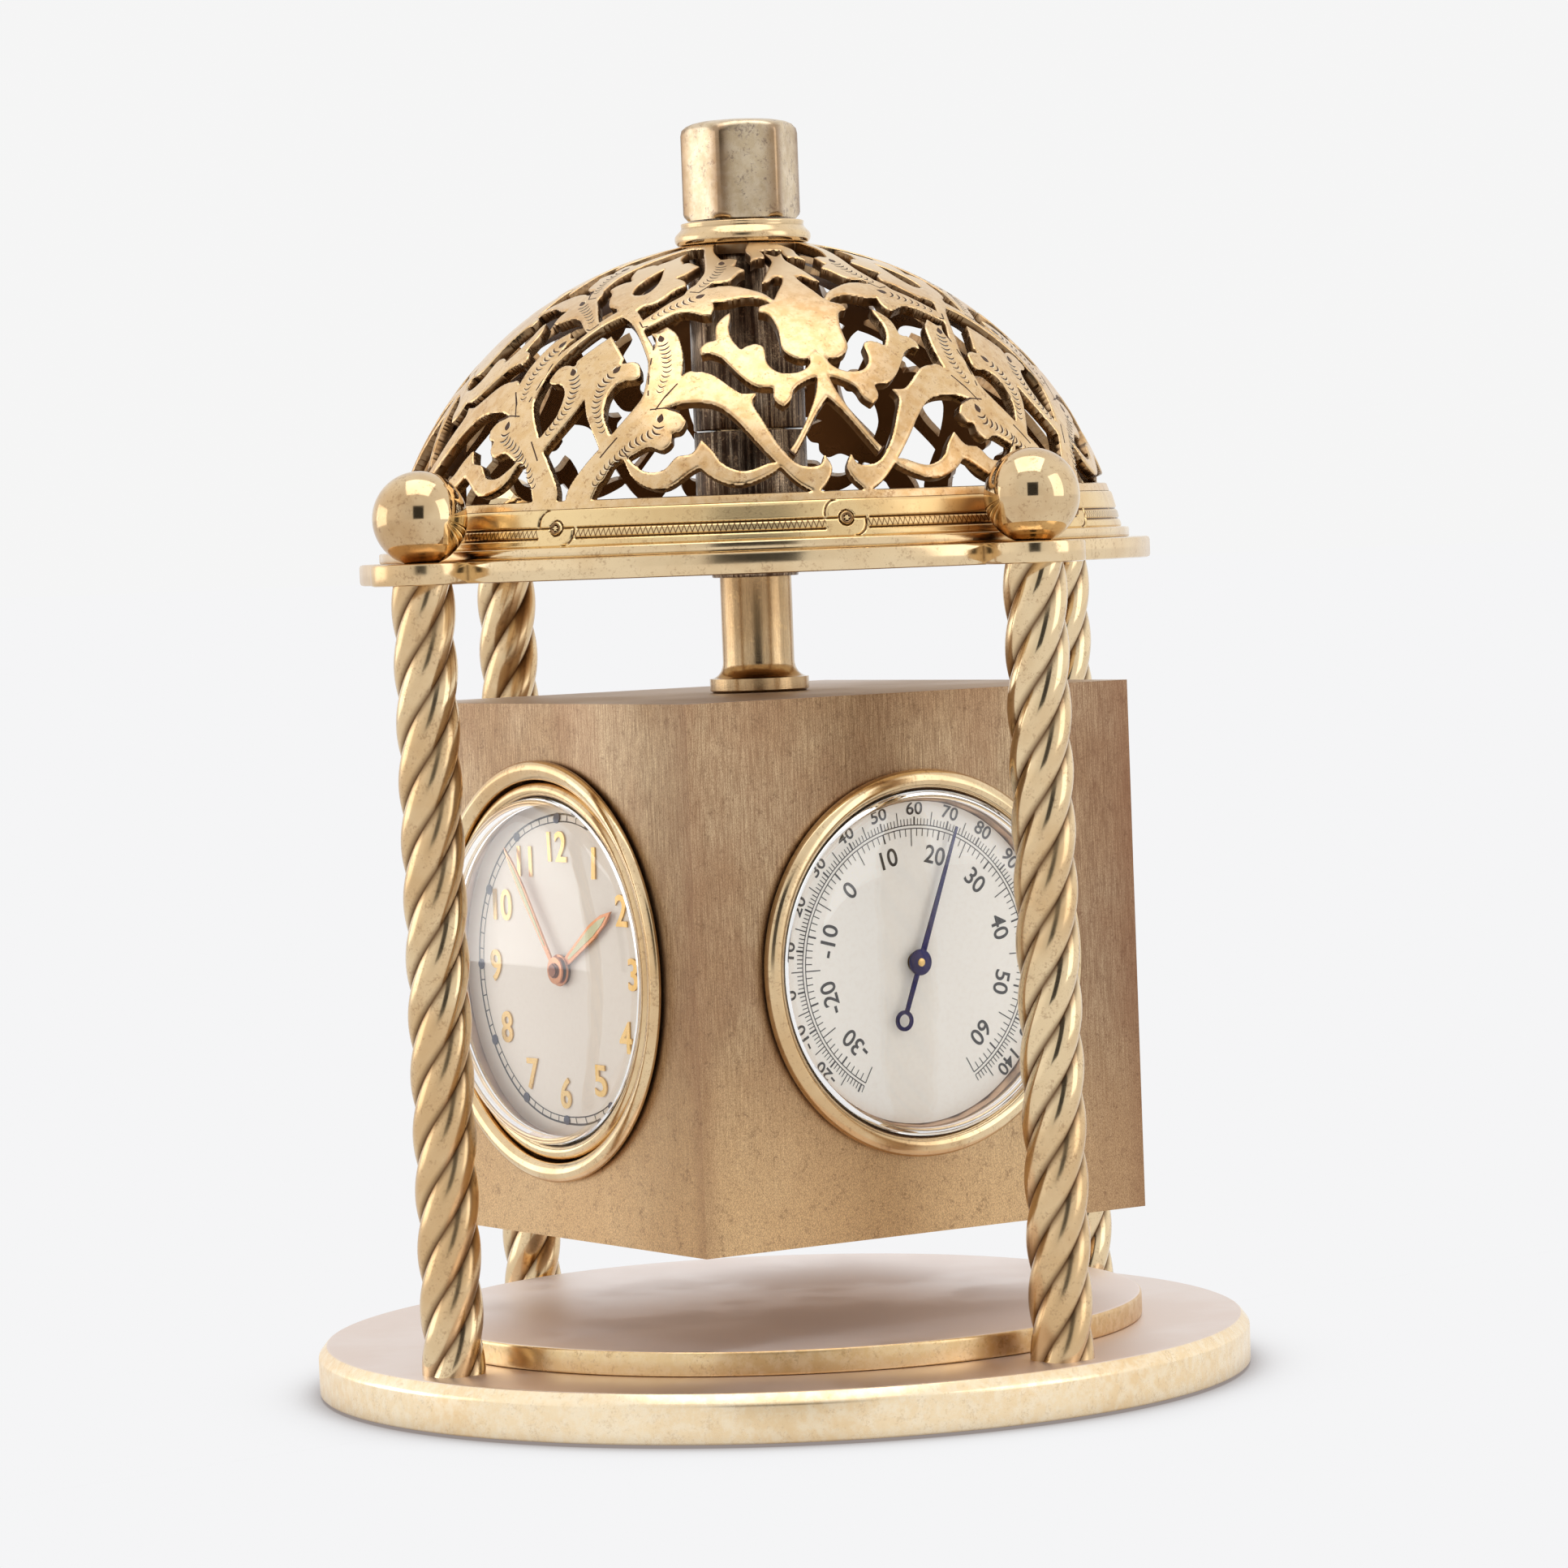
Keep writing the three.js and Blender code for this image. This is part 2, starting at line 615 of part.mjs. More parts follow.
function wholeOutline(halfShares, axisShare) {
  const mirrored = halfShares.slice(1, -1).reverse();
  return [...halfShares, ...mirrored.map(([across, up]) => [2 * axisShare - across, up])];
}

function buildDome() {
  const inner = ringStepRadius - ringWall;
  const stepTop = topPlateTop + ringStepHeight;
  const ring = revolve([
    [inner, topPlateTop],
    [ringStepRadius, topPlateTop],
    [ringStepRadius, stepTop],
    [ringBandRadius, stepTop],
    [ringBandRadius, stepTop + ringCove],
    [ringBandRadius - ringCove, stepTop + 2 * ringCove],
    [ringTopRadius, domeFoot],
    [inner - ringCove, domeFoot],
  ], largeSides);
  addPiece(clock, 'dome_ring', ring, 'goldenBrass');

  const openings = [];
  const place = (outline, turn, mirrored) => {
    openings.push(outline.map(([across, up]) => flatPlace(across, up, turn, mirrored)));
  };
  for (let quarter = 0; quarter < columnCount; quarter += 1) {
    const turn = domeTurn + quarter * domeSpan;
    for (const half of leafAxisShares) place(wholeOutline(half, 0), turn, false);
    for (const half of palmetteAxisShares) place(wholeOutline(half, 1), turn, false);
    for (const outline of sideShares) {
      place(outline, turn, false);
      place(outline, turn, true);
    }
  }
  const foot = flatCircle(Math.acos((domeFoot - domeCentre) / domeRadius), largeSides);
  const eye = flatCircle(Math.asin(eyeRadius / domeRadius), eyeSides);
  addPiece(clock, 'pierced_dome', piercedSheet(foot, eye, openings), 'goldenBrass');
}

// Collar on the dome and the two guide sleeves round the spindle
function buildGuides() {
  const bulge = (collarHeight * 2) / 3 / 2;
  const collar = revolve([
    [spindleBore, collarFoot],
    [collarRadius - bulge / 2, collarFoot],
    ...arc(collarFoot + bulge, bulge, -Math.PI / 4, Math.PI / 3, coveSteps, collarRadius - bulge),
    [collarNeckRadius, collarTop],
    [spindleBore, collarTop],
  ], middleSides);
  addPiece(clock, 'dome_collar', collar, 'polishedBrass');

  const splitTop = topPlateTop + lowerSleeveHeight + sleeveSplit;
  const upper = washer(spindleBore, sleeveRadius, splitTop, collarFoot, smallSides);
  addPiece(clock, 'upper_sleeve', upper, 'darkBrass');

  const lower = revolve([
    [spindleBore, columnTop - bushDrop],
    [bushRadius, columnTop - bushDrop],
    [bushRadius, topPlateTop],
    [sleeveRadius, topPlateTop],
    [sleeveRadius, splitTop - sleeveSplit],
    [spindleBore, splitTop - sleeveSplit],
  ], smallSides);
  addPiece(clock, 'lower_sleeve', lower, 'darkBrass');
}

// Everything that turns with the knob
const turning = new THREE.Group();
turning.rotation.z = cubeTurn;
clock.add(turning);

function buildSpindle() {
  const shoulder = collarTop - runningGap;
  const flangeTop = cubeTop + flangeThickness;
  const width = flangeRadius - spindleRadius;
  const cove = [];
  for (let i = 0; i <= coveSteps; i += 1) {
    const angle = (Math.PI / 2) * (i / coveSteps);
    cove.push([flangeRadius - width * Math.sin(angle), flangeTop + coveHeight * (1 - Math.cos(angle))]);
  }
  const foot = cubeTop - cubeWall - seatGap - nutThickness - seatGap;
  const spindle = revolve([
    [0, foot],
    [spindleThreadRadius, foot],
    [spindleThreadRadius, cubeTop],
    [flangeRadius, cubeTop],
    ...cove,
    [spindleRadius, shoulder],
    [spindleThreadRadius, shoulder],
    [spindleThreadRadius, knobFoot + knobBore - seatGap],
    [0, knobFoot + knobBore - seatGap],
  ], smallSides);
  addPiece(turning, 'spindle', spindle, 'polishedBrass');

  const nutTop = cubeTop - cubeWall - seatGap;
  const nut = cut(disc(nutRadius, nutTop - nutThickness, nutTop, 6), [
    disc(spindleThreadRadius + seatGap, foot - cutOverrun, nutTop + cutOverrun, smallSides),
  ]);
  addPiece(turning, 'spindle_nut', nut, 'steel');

  const knobTop = knobFoot + knobHeight;
  const prism = disc(knobRadius, knobFoot, knobTop, 6);
  const turned = revolve([
    [0, knobFoot],
    [knobRadius - knobFootBevel, knobFoot],
    [knobRadius, knobFoot + knobFootBevel],
    [knobRadius, knobTop - knobCrown],
    [knobCrownRadius, knobTop - knobCrown / 4],
    [0, knobTop],
  ], middleSides);
  const socket = disc(spindleThreadRadius + seatGap, knobFoot - cutOverrun, knobFoot + knobBore, smallSides);
  const body = toSolid(prism.rotateZ(knobTurn - cubeTurn)).intersect(toSolid(turned));
  addPiece(turning, 'hex_knob', cut(fromSolid(body), [socket]), 'goldenBrass');
}

// A group whose +Z points out of one face of the cube and whose +Y points up
function faceGroup(quarter) {
  const group = new THREE.Group();
  const outward = (2 * Math.PI * quarter) / 4;
  group.rotation.set(Math.PI / 2, 0, outward + Math.PI / 2, 'ZXY');
  const half = cubeSide / 2;
  group.position.set(half * Math.cos(outward), half * Math.sin(outward), cubeMiddle);
  turning.add(group);
  group.updateMatrix();
  return group;
}

const clockFace = faceGroup(2);
const thermometerFace = faceGroup(3);
const barometerFace = faceGroup(0);
const hygrometerFace = faceGroup(1);

function buildCube() {
  const inside = cubeSide - 2 * cubeWall;
  const hollow = box(inside, inside, cubeSide).translate(0, 0, cubeMiddle - cubeWall);
  const tools = [
    hollow,
    disc(spindleThreadRadius + seatGap, cubeTop - cubeWall - cutOverrun, cubeTop + cutOverrun, smallSides),
  ];
  for (const face of [thermometerFace, barometerFace, hygrometerFace]) {
    const hole = disc(instrumentCaseRadius + seatGap, -cubeWall - cutOverrun, cutOverrun, middleSides);
    tools.push(hole.applyMatrix4(face.matrix));
  }
  const clockHole = disc(clockSleeveOuter + seatGap, -cubeWall - cutOverrun, cutOverrun, middleSides);
  tools.push(clockHole.applyMatrix4(clockFace.matrix));
  const outer = box(cubeSide, cubeSide, cubeSide).translate(0, 0, cubeMiddle);
  addPiece(turning, 'cube_case', cut(outer, tools), 'brushedBrass');

  const coverSide = inside - 2 * seatGap;
  const cover = box(coverSide, coverSide, coverThickness);
  cover.translate(0, 0, cubeTop - cubeSide + coverThickness / 2);
  addPiece(turning, 'cube_cover', cover, 'brushedBrass');
}

// A domed glass: a flat-edged disc that rises to the middle, hollow underneath
function crystalBody(radius, foot, edgeHeight, rise, thickness) {
  const outerSphere = (radius ** 2 + rise ** 2) / (2 * rise);
  const outerCentre = foot + edgeHeight + rise - outerSphere;
  const innerRadius = radius - thickness;
  const innerTop = foot + edgeHeight + rise - thickness;
  const innerRise = innerTop - foot;
  const innerSphere = (innerRadius ** 2 + innerRise ** 2) / (2 * innerRise);
  const outerEdge = Math.acos(radius / outerSphere);
  const innerEdge = Math.acos(innerRadius / innerSphere);
  return revolve([
    [0, innerTop],
    ...arc(innerTop - innerSphere, innerSphere, Math.PI / 2, innerEdge, crystalSteps).slice(1),
    [radius, foot],
    ...arc(outerCentre, outerSphere, outerEdge, Math.PI / 2, crystalSteps).slice(0, -1),
    [0, foot + edgeHeight + rise],
  ], middleSides);
}

// A rounded bezel on the face with a ledge inside it for the crystal
function bezelBody(outer, width, foot, top, ledge, ledgeHeight) {
  const inner = outer - width;
  const height = top - foot;
  return revolve([
    [inner - ledge, foot],
    [outer - height / 6, foot],
    [outer, foot + height / 3],
    [outer - width / 4, foot + (height * 5) / 6],
    [outer - width / 2, top],
    [inner, foot + (height * 3) / 4],
    [inner, foot + ledgeHeight],
    [inner - ledge, foot + ledgeHeight],
  ], middleSides);
}

function cupBody(radius, rim, depth, wall) {
  return revolve([
    [0, -depth],
    [radius, -depth],
    [radius, rim],
    [radius - wall, rim],
    [radius - wall, wall - depth],
    [0, wall - depth],
  ], middleSides);
}

// A slim pointer with a round hub, a thin tail and a ring at its end
function pointerBody(angleDegrees, foot) {
  const angle = -THREE.MathUtils.degToRad(angleDegrees);
  const blade = new THREE.Shape();
  blade.moveTo(-handNeckWidth / 2, 0);
  blade.lineTo(handNeckWidth / 2, 0);
  blade.lineTo(handEndWidth / 2, handLength);
  blade.lineTo(-handEndWidth / 2, handLength);
  const tail = new THREE.Shape();
  const tailEnd = tailRingRadius - handTail - tailRingWidth / 2;
  tail.moveTo(-handEndWidth, 0);
  tail.lineTo(-handEndWidth, tailEnd);
  tail.lineTo(handEndWidth, tailEnd);
  tail.lineTo(handEndWidth, 0);
  const ring = washer(tailRingRadius - tailRingWidth, tailRingRadius, foot, foot + handThickness, pinSides);
  return [
    disc(handHubRadius, foot, foot + handThickness, pinSides),
    plate(blade, foot, handThickness, 1),
    plate(tail, foot, handThickness, 1),
    ring.translate(0, -handTail, 0),
  ].map((body) => body.rotateZ(angle));
}

function instrumentHand(angleDegrees, arborFoot) {
  const foot = -instrumentDialDepth + instrumentHandLift;
  const arbor = disc(arborRadius, arborFoot, foot + handThickness / 2, pinSides);
  return join([arbor, ...pointerBody(angleDegrees, foot)]);
}

// A flat coil of strip: four-sided, closed, from the arbor out to its anchor
function coilBody(foot) {
  const stepCount = Math.round(coilTurns * coilStepsPerTurn);
  const places = [];
  const corners = [];
  for (let step = 0; step <= stepCount; step += 1) {
    const share = step / stepCount;
    const angle = 2 * Math.PI * coilTurns * share;
    const middle = coilInnerRadius + (coilOuterRadius - coilInnerRadius) * share;
    const half = coilStripThickness / 2;
    for (const [radius, height] of [
      [middle - half, foot],
      [middle + half, foot],
      [middle + half, foot + coilStripHeight],
      [middle - half, foot + coilStripHeight],
    ]) {
      places.push(radius * Math.cos(angle), radius * Math.sin(angle), height);
    }
  }
  for (let step = 0; step < stepCount; step += 1) {
    for (let i = 0; i < stripCorners; i += 1) {
      const low = step * stripCorners;
      const high = low + stripCorners;
      const next = (i + 1) % stripCorners;
      corners.push(low + i, low + next, high + i, low + next, high + next, high + i);
    }
  }
  const last = stepCount * stripCorners;
  corners.push(0, 2, 1, 0, 3, 2, last, last + 1, last + 2, last, last + 2, last + 3);
  const geometry = new THREE.BufferGeometry();
  geometry.setAttribute('position', new THREE.Float32BufferAttribute(places, 3));
  geometry.setIndex(corners);
  return closedBody(geometry);
}

// A sealed pressure capsule with ripples on both faces
function capsuleBody(foot) {
  const step = capsuleRadius / (2 * capsuleRippleCount);
  const under = [];
  for (let i = 0; i < 2 * capsuleRippleCount; i += 1) {
    under.push([i * step, foot + (i % 2) * capsuleRipple]);
  }
  const over = under.map(([radius, height]) => [radius, 2 * foot + capsuleThickness - height]).reverse();
  return revolve([
    ...under,
    [capsuleRadius, foot + capsuleRipple],
    [capsuleRadius, foot + capsuleThickness - capsuleRipple],
    ...over,
  ], middleSides);
}

function buildInstrument(face, name, depth, angleDegrees, elementName) {
  const inner = instrumentBezelRadius - instrumentBezelWidth;
  const bezelTop = seatGap + instrumentBezelHeight;
  const bezel = bezelBody(instrumentBezelRadius, instrumentBezelWidth, seatGap, bezelTop, instrumentLedge,
    instrumentLedgeHeight);
  addPiece(face, `${name}_bezel`, bezel, 'polishedBrass');

  const crystalFoot = seatGap + instrumentLedgeHeight + seatGap;
  const crystal = crystalBody(inner - seatGap, crystalFoot, crystalEdgeHeight, crystalRise, crystalThickness);
  addPiece(face, `${name}_crystal`, crystal, 'crystal');

  const dialFoot = -instrumentDialDepth - dialThickness;
  const dial = washer(dialHoleRadius, instrumentDialRadius, dialFoot, -instrumentDialDepth, middleSides);
  addPiece(face, `${name}_dial`, dial, 'dial');

  addPiece(face, `${name}_case`, cupBody(instrumentCaseRadius, 0, depth, caseWall), 'darkBrass');

  const backInside = caseWall - depth;
  const elementFoot = backInside + seatGap;
  const isCapsule = elementName === 'aneroid_capsule';
  const element = isCapsule ? capsuleBody(elementFoot) : coilBody(elementFoot);
  addPiece(face, elementName, element, isCapsule ? 'goldenBrass' : 'copper');

  const arborFoot = isCapsule ? elementFoot + capsuleThickness + seatGap : backInside + seatGap;
  addPiece(face, `${name}_hand`, instrumentHand(angleDegrees, arborFoot), 'bluedSteel');
}

// Clock: the ring fixed in the cube, and the insert that pulls out of it
function clockHand(length, width, hub, hole, foot, clockwise) {
  const blade = new THREE.Shape();
  blade.moveTo(-width / 4, 0);
  blade.lineTo(width / 4, 0);
  blade.lineTo(width / 2, length * 0.75);
  blade.lineTo(0, length);
  blade.lineTo(-width / 2, length * 0.75);
  const body = join([
    disc(hub, foot, foot + handThickness, smallSides),
    plate(blade, foot, handThickness, 1),
  ]);
  const bore = disc(hole, foot - cutOverrun, foot + handThickness + cutOverrun, smallSides);
  return cut(body, [bore]).rotateZ(-clockwise);
}

function buildClockCase() {
  const ringTop = seatGap + clockRingHeight;
  const ring = revolve([
    [clockSleeveInner, -clockSleeveDepth],
    [clockSleeveOuter, -clockSleeveDepth],
    [clockSleeveOuter, seatGap],
    [clockRingRadius - clockRingHeight / 4, seatGap],
    [clockRingRadius, seatGap + clockRingHeight / 4],
    [clockRingRadius - clockRingWidth / 4, ringTop],
    [clockRingRadius - (clockRingWidth * 3) / 4, ringTop],
    [clockSleeveInner, seatGap + clockRingHeight / 2],
  ], middleSides);
  addPiece(clockFace, 'clock_ring', ring, 'polishedBrass');

  const bezelFoot = insertBezelTop - insertBezelHeight;
  const bezel = bezelBody(clockCaseRadius, insertBezelWidth, bezelFoot, insertBezelTop, insertLedge,
    insertBezelHeight / 2);
  addPiece(clockFace, 'clock_bezel', bezel, 'polishedBrass');

  const crystalFoot = bezelFoot + insertBezelHeight / 2 + seatGap;
  const crystal = crystalBody(clockCaseRadius - insertBezelWidth - seatGap, crystalFoot, crystalEdgeHeight,
    clockCrystalRise, crystalThickness);
  addPiece(clockFace, 'clock_crystal', crystal, 'crystal');

  const rim = bezelFoot - seatGap;
  const wallHoles = [
    disc(centreArborRadius + runningGap, -clockCaseDepth - cutOverrun, caseWall - clockCaseDepth + cutOverrun,
      pinSides),
    disc(keyArborRadius + runningGap, -clockCaseDepth - cutOverrun, caseWall - clockCaseDepth + cutOverrun,
      pinSides).translate(-barrelDistance, 0, 0),
  ];
  const cup = cut(cupBody(clockCaseRadius, rim, clockCaseDepth, caseWall), wallHoles);
  addPiece(clockFace, 'clock_case', cup, 'darkBrass');

  const dialFoot = -clockDialDepth - dialThickness;
  const dial = washer(pipeRadius + runningGap, clockDialRadius, dialFoot, -clockDialDepth, middleSides);
  addPiece(clockFace, 'clock_dial', dial, 'dial');
}

// A wheel or pinion with pointed teeth; its first tooth or gap lies along +X
function toothedDisc(pitchRadius, teeth, foot, thickness, startWithTooth) {
  const shape = new THREE.Shape();
  const offset = startWithTooth ? 0 : Math.PI / teeth;
  for (let i = 0; i < 2 * teeth; i += 1) {
    const angle = offset + (Math.PI * i) / teeth;
    const radius = pitchRadius + (i % 2 === 0 ? toothDepth : -toothDepth) / 2;
    const x = radius * Math.cos(angle);
    const y = radius * Math.sin(angle);
    if (i === 0) shape.moveTo(x, y);
    else shape.lineTo(x, y);
  }
  return plate(shape, foot, thickness, 1);
}

const barrelDistance = (goingModule * (barrelTeeth + centrePinionTeeth)) / 2 + meshPlay;
const minuteWheelDistance = (motionModule * (cannonTeeth + minuteWheelTeeth)) / 2 + meshPlay;
const hourModule = (2 * (minuteWheelDistance - meshPlay)) / (minutePinionTeeth + hourWheelTeeth);

function buildMovement() {
  const frontFoot = frontPlateFoot;
  const frontTop = frontFoot + frontPlateThickness;
  const backTop = backPlateTop;
  const backFoot = backTop - backPlateThickness;
  const levelLow = frontTop + seatGap;
  const levelHigh = levelLow + wheelThickness + runningGap;
  const arborHole = centreArborRadius + runningGap;
  const balanceX = balanceCircle * Math.cos(balanceAngle);
  const balanceY = balanceCircle * Math.sin(balanceAngle);

  const frontHoles = [
    disc(arborHole, frontFoot - cutOverrun, frontTop + cutOverrun, pinSides),
    disc(arborRadius + runningGap, frontFoot - cutOverrun, frontTop + cutOverrun, pinSides)
      .translate(minuteWheelDistance, 0, 0),
    disc(arborRadius + runningGap, frontFoot - cutOverrun, frontTop + cutOverrun, pinSides)
      .translate(balanceX, balanceY, 0),
  ];
  const front = cut(disc(movementPlateRadius, frontFoot, frontTop, smallSides), frontHoles);
  addPiece(clockFace, 'movement_front_plate', front, 'goldenBrass');

  const pillars = pillarShares.map((share) => {
    const angle = 2 * Math.PI * share;
    const pillar = disc(pillarRadius, backFoot + backPlateThickness / 2, frontFoot - seatGap, pinSides);
    return pillar.translate(pillarCircle * Math.cos(angle), pillarCircle * Math.sin(angle), 0);
  });
  const backHoles = [
    disc(arborHole, backFoot - cutOverrun, backTop + cutOverrun, pinSides),
    disc(keyArborRadius + runningGap, backFoot - cutOverrun, backTop + cutOverrun, pinSides)
      .translate(-barrelDistance, 0, 0),
    disc(arborRadius + runningGap, backFoot - cutOverrun, backTop + cutOverrun, pinSides)
      .translate(balanceX, balanceY, 0),
  ];
  const back = cut(join([disc(movementPlateRadius, backFoot, backTop, smallSides), ...pillars]), backHoles);
  addPiece(clockFace, 'movement_back_plate', back, 'goldenBrass');

  const greatFoot = backTop + seatGap;
  const greatTop = greatFoot + wheelThickness;
  const drumTop = greatTop + barrelDrumHeight;
  const barrelBody = cut(join([
    toothedDisc((goingModule * barrelTeeth) / 2, barrelTeeth, greatFoot, wheelThickness, true),
    disc(barrelDrumRadius, greatTop - wheelThickness / 2, drumTop, smallSides),
  ]), [
    disc(keyArborRadius + runningGap, greatFoot - cutOverrun, drumTop + cutOverrun, pinSides),
    washer(barrelBore, barrelDrumRadius - caseWall, greatTop, drumTop + cutOverrun, smallSides),
  ]);
  const barrel = addPiece(clockFace, 'mainspring_barrel', barrelBody, 'goldenBrass');
  barrel.position.x = -barrelDistance;

  const keyFoot = -clockCaseDepth - keyReach;
  const keyBody = join([
    disc(keyArborRadius, keyFoot, drumTop, pinSides),
    box(keyWingThickness, keyWingWidth, keyWingHeight).translate(0, 0, keyFoot),
  ]);
  addPiece(clockFace, 'winding_key', keyBody, 'steel').position.x = -barrelDistance;

  const centreWheelFoot = drumTop + seatGap;
  const pinionHeight = wheelThickness + seatGap;
  const arborFoot = -clockCaseDepth - setKnobReach;
  const centre = join([
    disc(centreArborRadius, arborFoot, -clockDialDepth + centreArborLift, pinSides),
    toothedDisc((goingModule * centrePinionTeeth) / 2, centrePinionTeeth, greatFoot, pinionHeight, false),
    disc(centreWheelRadius, centreWheelFoot, centreWheelFoot + wheelThickness / 2, middleSides),
    toothedDisc((motionModule * cannonTeeth) / 2, cannonTeeth, levelLow, wheelThickness, true),
  ]);
  addPiece(clockFace, 'centre_arbor', centre, 'steel');

  const knob = cut(disc(setKnobRadius, arborFoot - setKnobHeight, arborFoot + setKnobReach / 2, smallSides), [
    disc(centreArborRadius + seatGap, arborFoot - seatGap, arborFoot + setKnobReach, pinSides),
  ]);
  addPiece(clockFace, 'setting_knob', knob, 'goldenBrass');

  const minuteWheelBody = join([
    toothedDisc((motionModule * minuteWheelTeeth) / 2, minuteWheelTeeth, levelLow, wheelThickness, false),
    toothedDisc((hourModule * minutePinionTeeth) / 2, minutePinionTeeth, levelLow + wheelThickness / 2,
      levelHigh + wheelThickness / 2 - levelLow, true),
    disc(arborRadius, frontFoot + seatGap, levelLow + wheelThickness / 2, pinSides),
  ]);
  addPiece(clockFace, 'minute_wheel', minuteWheelBody, 'goldenBrass').position.x = minuteWheelDistance;

  const pipeInner = pipeRadius - pipeWall;
  const hourFoot = -clockDialDepth + hourHandLift;
  const hourWheelBody = cut(join([
    toothedDisc((hourModule * hourWheelTeeth) / 2, hourWheelTeeth, levelHigh, wheelThickness, false),
    disc(pipeRadius, levelHigh, hourFoot + handThickness, smallSides),
  ]), [
    disc(pipeInner, levelHigh - cutOverrun, hourFoot + handThickness + cutOverrun, smallSides),
  ]);
  addPiece(clockFace, 'hour_wheel', hourWheelBody, 'goldenBrass');

  const rim = washer(balanceRadius - balanceRimWidth, balanceRadius, centreWheelFoot,
    centreWheelFoot + wheelThickness, smallSides);
  const arm = box(2 * balanceRadius - balanceRimWidth, balanceArmWidth, wheelThickness / 2);
  arm.translate(0, 0, centreWheelFoot + wheelThickness / 2);
  const staff = disc(arborRadius, backFoot + seatGap, frontTop - seatGap, pinSides);
  addPiece(clockFace, 'balance_wheel', join([staff, rim, arm]), 'goldenBrass')
    .position.set(balanceX, balanceY, 0);
}

function buildHands() {
  const minuteTurn = (2 * Math.PI * timeMinutes) / 60;
  const hourTurn = (2 * Math.PI * (timeHours + timeMinutes / 60)) / 12;
  const hourFoot = -clockDialDepth + hourHandLift;
  const minuteFoot = -clockDialDepth + minuteHandLift;
  const hour = clockHand(hourHandLength, hourHandWidth, hourHandHub, pipeRadius + seatGap, hourFoot, hourTurn);
  addPiece(clockFace, 'hour_hand', hour, 'copper');
  const minute = clockHand(minuteHandLength, minuteHandWidth, minuteHandHub, centreArborRadius + seatGap,
    minuteFoot, minuteTurn);
  addPiece(clockFace, 'minute_hand', minute, 'copper');
}

buildBase();
buildColumns();
buildTopPlate();
buildDome();
buildGuides();
buildSpindle();
buildCube();
buildInstrument(thermometerFace, 'thermometer', shallowCaseDepth, thermometerAngle, 'bimetal_coil');
buildInstrument(barometerFace, 'barometer', deepCaseDepth, barometerAngle, 'aneroid_capsule');
buildInstrument(hygrometerFace, 'hygrometer', shallowCaseDepth, hygrometerAngle, 'hygroscopic_coil');
buildClockCase();
buildMovement();
buildHands();

export default clock;
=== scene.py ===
import json
import math

import bmesh
import bpy
import numpy as np
from mathutils import Matrix, Vector


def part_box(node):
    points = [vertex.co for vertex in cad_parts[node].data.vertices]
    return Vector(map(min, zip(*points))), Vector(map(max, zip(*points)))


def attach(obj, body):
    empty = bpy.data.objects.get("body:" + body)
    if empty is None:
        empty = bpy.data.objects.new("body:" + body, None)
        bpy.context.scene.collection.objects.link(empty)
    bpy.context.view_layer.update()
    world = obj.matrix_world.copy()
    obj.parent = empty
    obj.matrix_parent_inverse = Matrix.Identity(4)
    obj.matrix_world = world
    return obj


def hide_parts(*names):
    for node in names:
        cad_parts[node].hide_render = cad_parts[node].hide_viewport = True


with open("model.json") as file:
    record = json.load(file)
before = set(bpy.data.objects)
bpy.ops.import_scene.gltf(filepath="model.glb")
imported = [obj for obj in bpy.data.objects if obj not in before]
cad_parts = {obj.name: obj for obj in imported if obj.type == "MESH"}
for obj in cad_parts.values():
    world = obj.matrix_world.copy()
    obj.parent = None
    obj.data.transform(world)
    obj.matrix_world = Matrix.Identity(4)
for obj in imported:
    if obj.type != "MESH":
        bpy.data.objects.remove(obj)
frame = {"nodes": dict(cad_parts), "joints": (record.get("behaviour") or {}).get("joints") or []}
nodes = frame["nodes"]
joints = {joint["name"]: joint for joint in frame["joints"]}
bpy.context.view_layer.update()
print("frame loaded")

mm = 0.001
full = 2 * math.pi


def heights(node):
    low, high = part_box(node)
    return low.z / mm, high.z / mm


def reach(node):
    low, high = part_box(node)
    return (high.x - low.x) / 2 / mm


def measure(node, place):
    # radii and heights of a round node in millimetres, seen from the place its axis starts at
    turn = place.inverted() @ nodes[node].matrix_world
    points = [(turn @ v.co) / mm for v in nodes[node].data.vertices]
    out = [p.xy.length for p in points]
    deep = [p.z for p in points]
    return {"inner": min(out), "outer": max(out), "low": min(deep), "high": max(deep)}


upright = Matrix()

# Shader helpers


def node(tree, kind, values=None, **settings):
    made = tree.nodes.new(kind)
    for key, value in settings.items():
        setattr(made, key, value)
    for key, value in (values or {}).items():
        if isinstance(value, bpy.types.NodeSocket):
            tree.links.new(value, made.inputs[key])
        else:
            made.inputs[key].default_value = value
    return made


def math2(tree, operation, a, b=0.0, c=0.0, clamp=False):
    return node(tree, "ShaderNodeMath", {0: a, 1: b, 2: c}, operation=operation, use_clamp=clamp).outputs[0]


def product(tree, value, *others):
    for other in others:
        value = math2(tree, "MULTIPLY", value, other)
    return value


def total(tree, value, *others):
    for other in others:
        value = math2(tree, "ADD", value, other)
    return value


def distance(tree, a, b):
    return math2(tree, "ABSOLUTE", math2(tree, "SUBTRACT", a, b))


def remap(tree, value, low, high, toLow=0.0, toHigh=1.0):
    made = node(
        tree,
        "ShaderNodeMapRange",
        {"Value": value, "From Min": low, "From Max": high, "To Min": toLow, "To Max": toHigh},
        interpolation_type="SMOOTHSTEP",
    )
    return made.outputs["Result"]


def blendColors(tree, share, a, b):
    made = node(tree, "ShaderNodeMix", {0: share, 6: a, 7: b}, data_type="RGBA")
    return made.outputs[2]


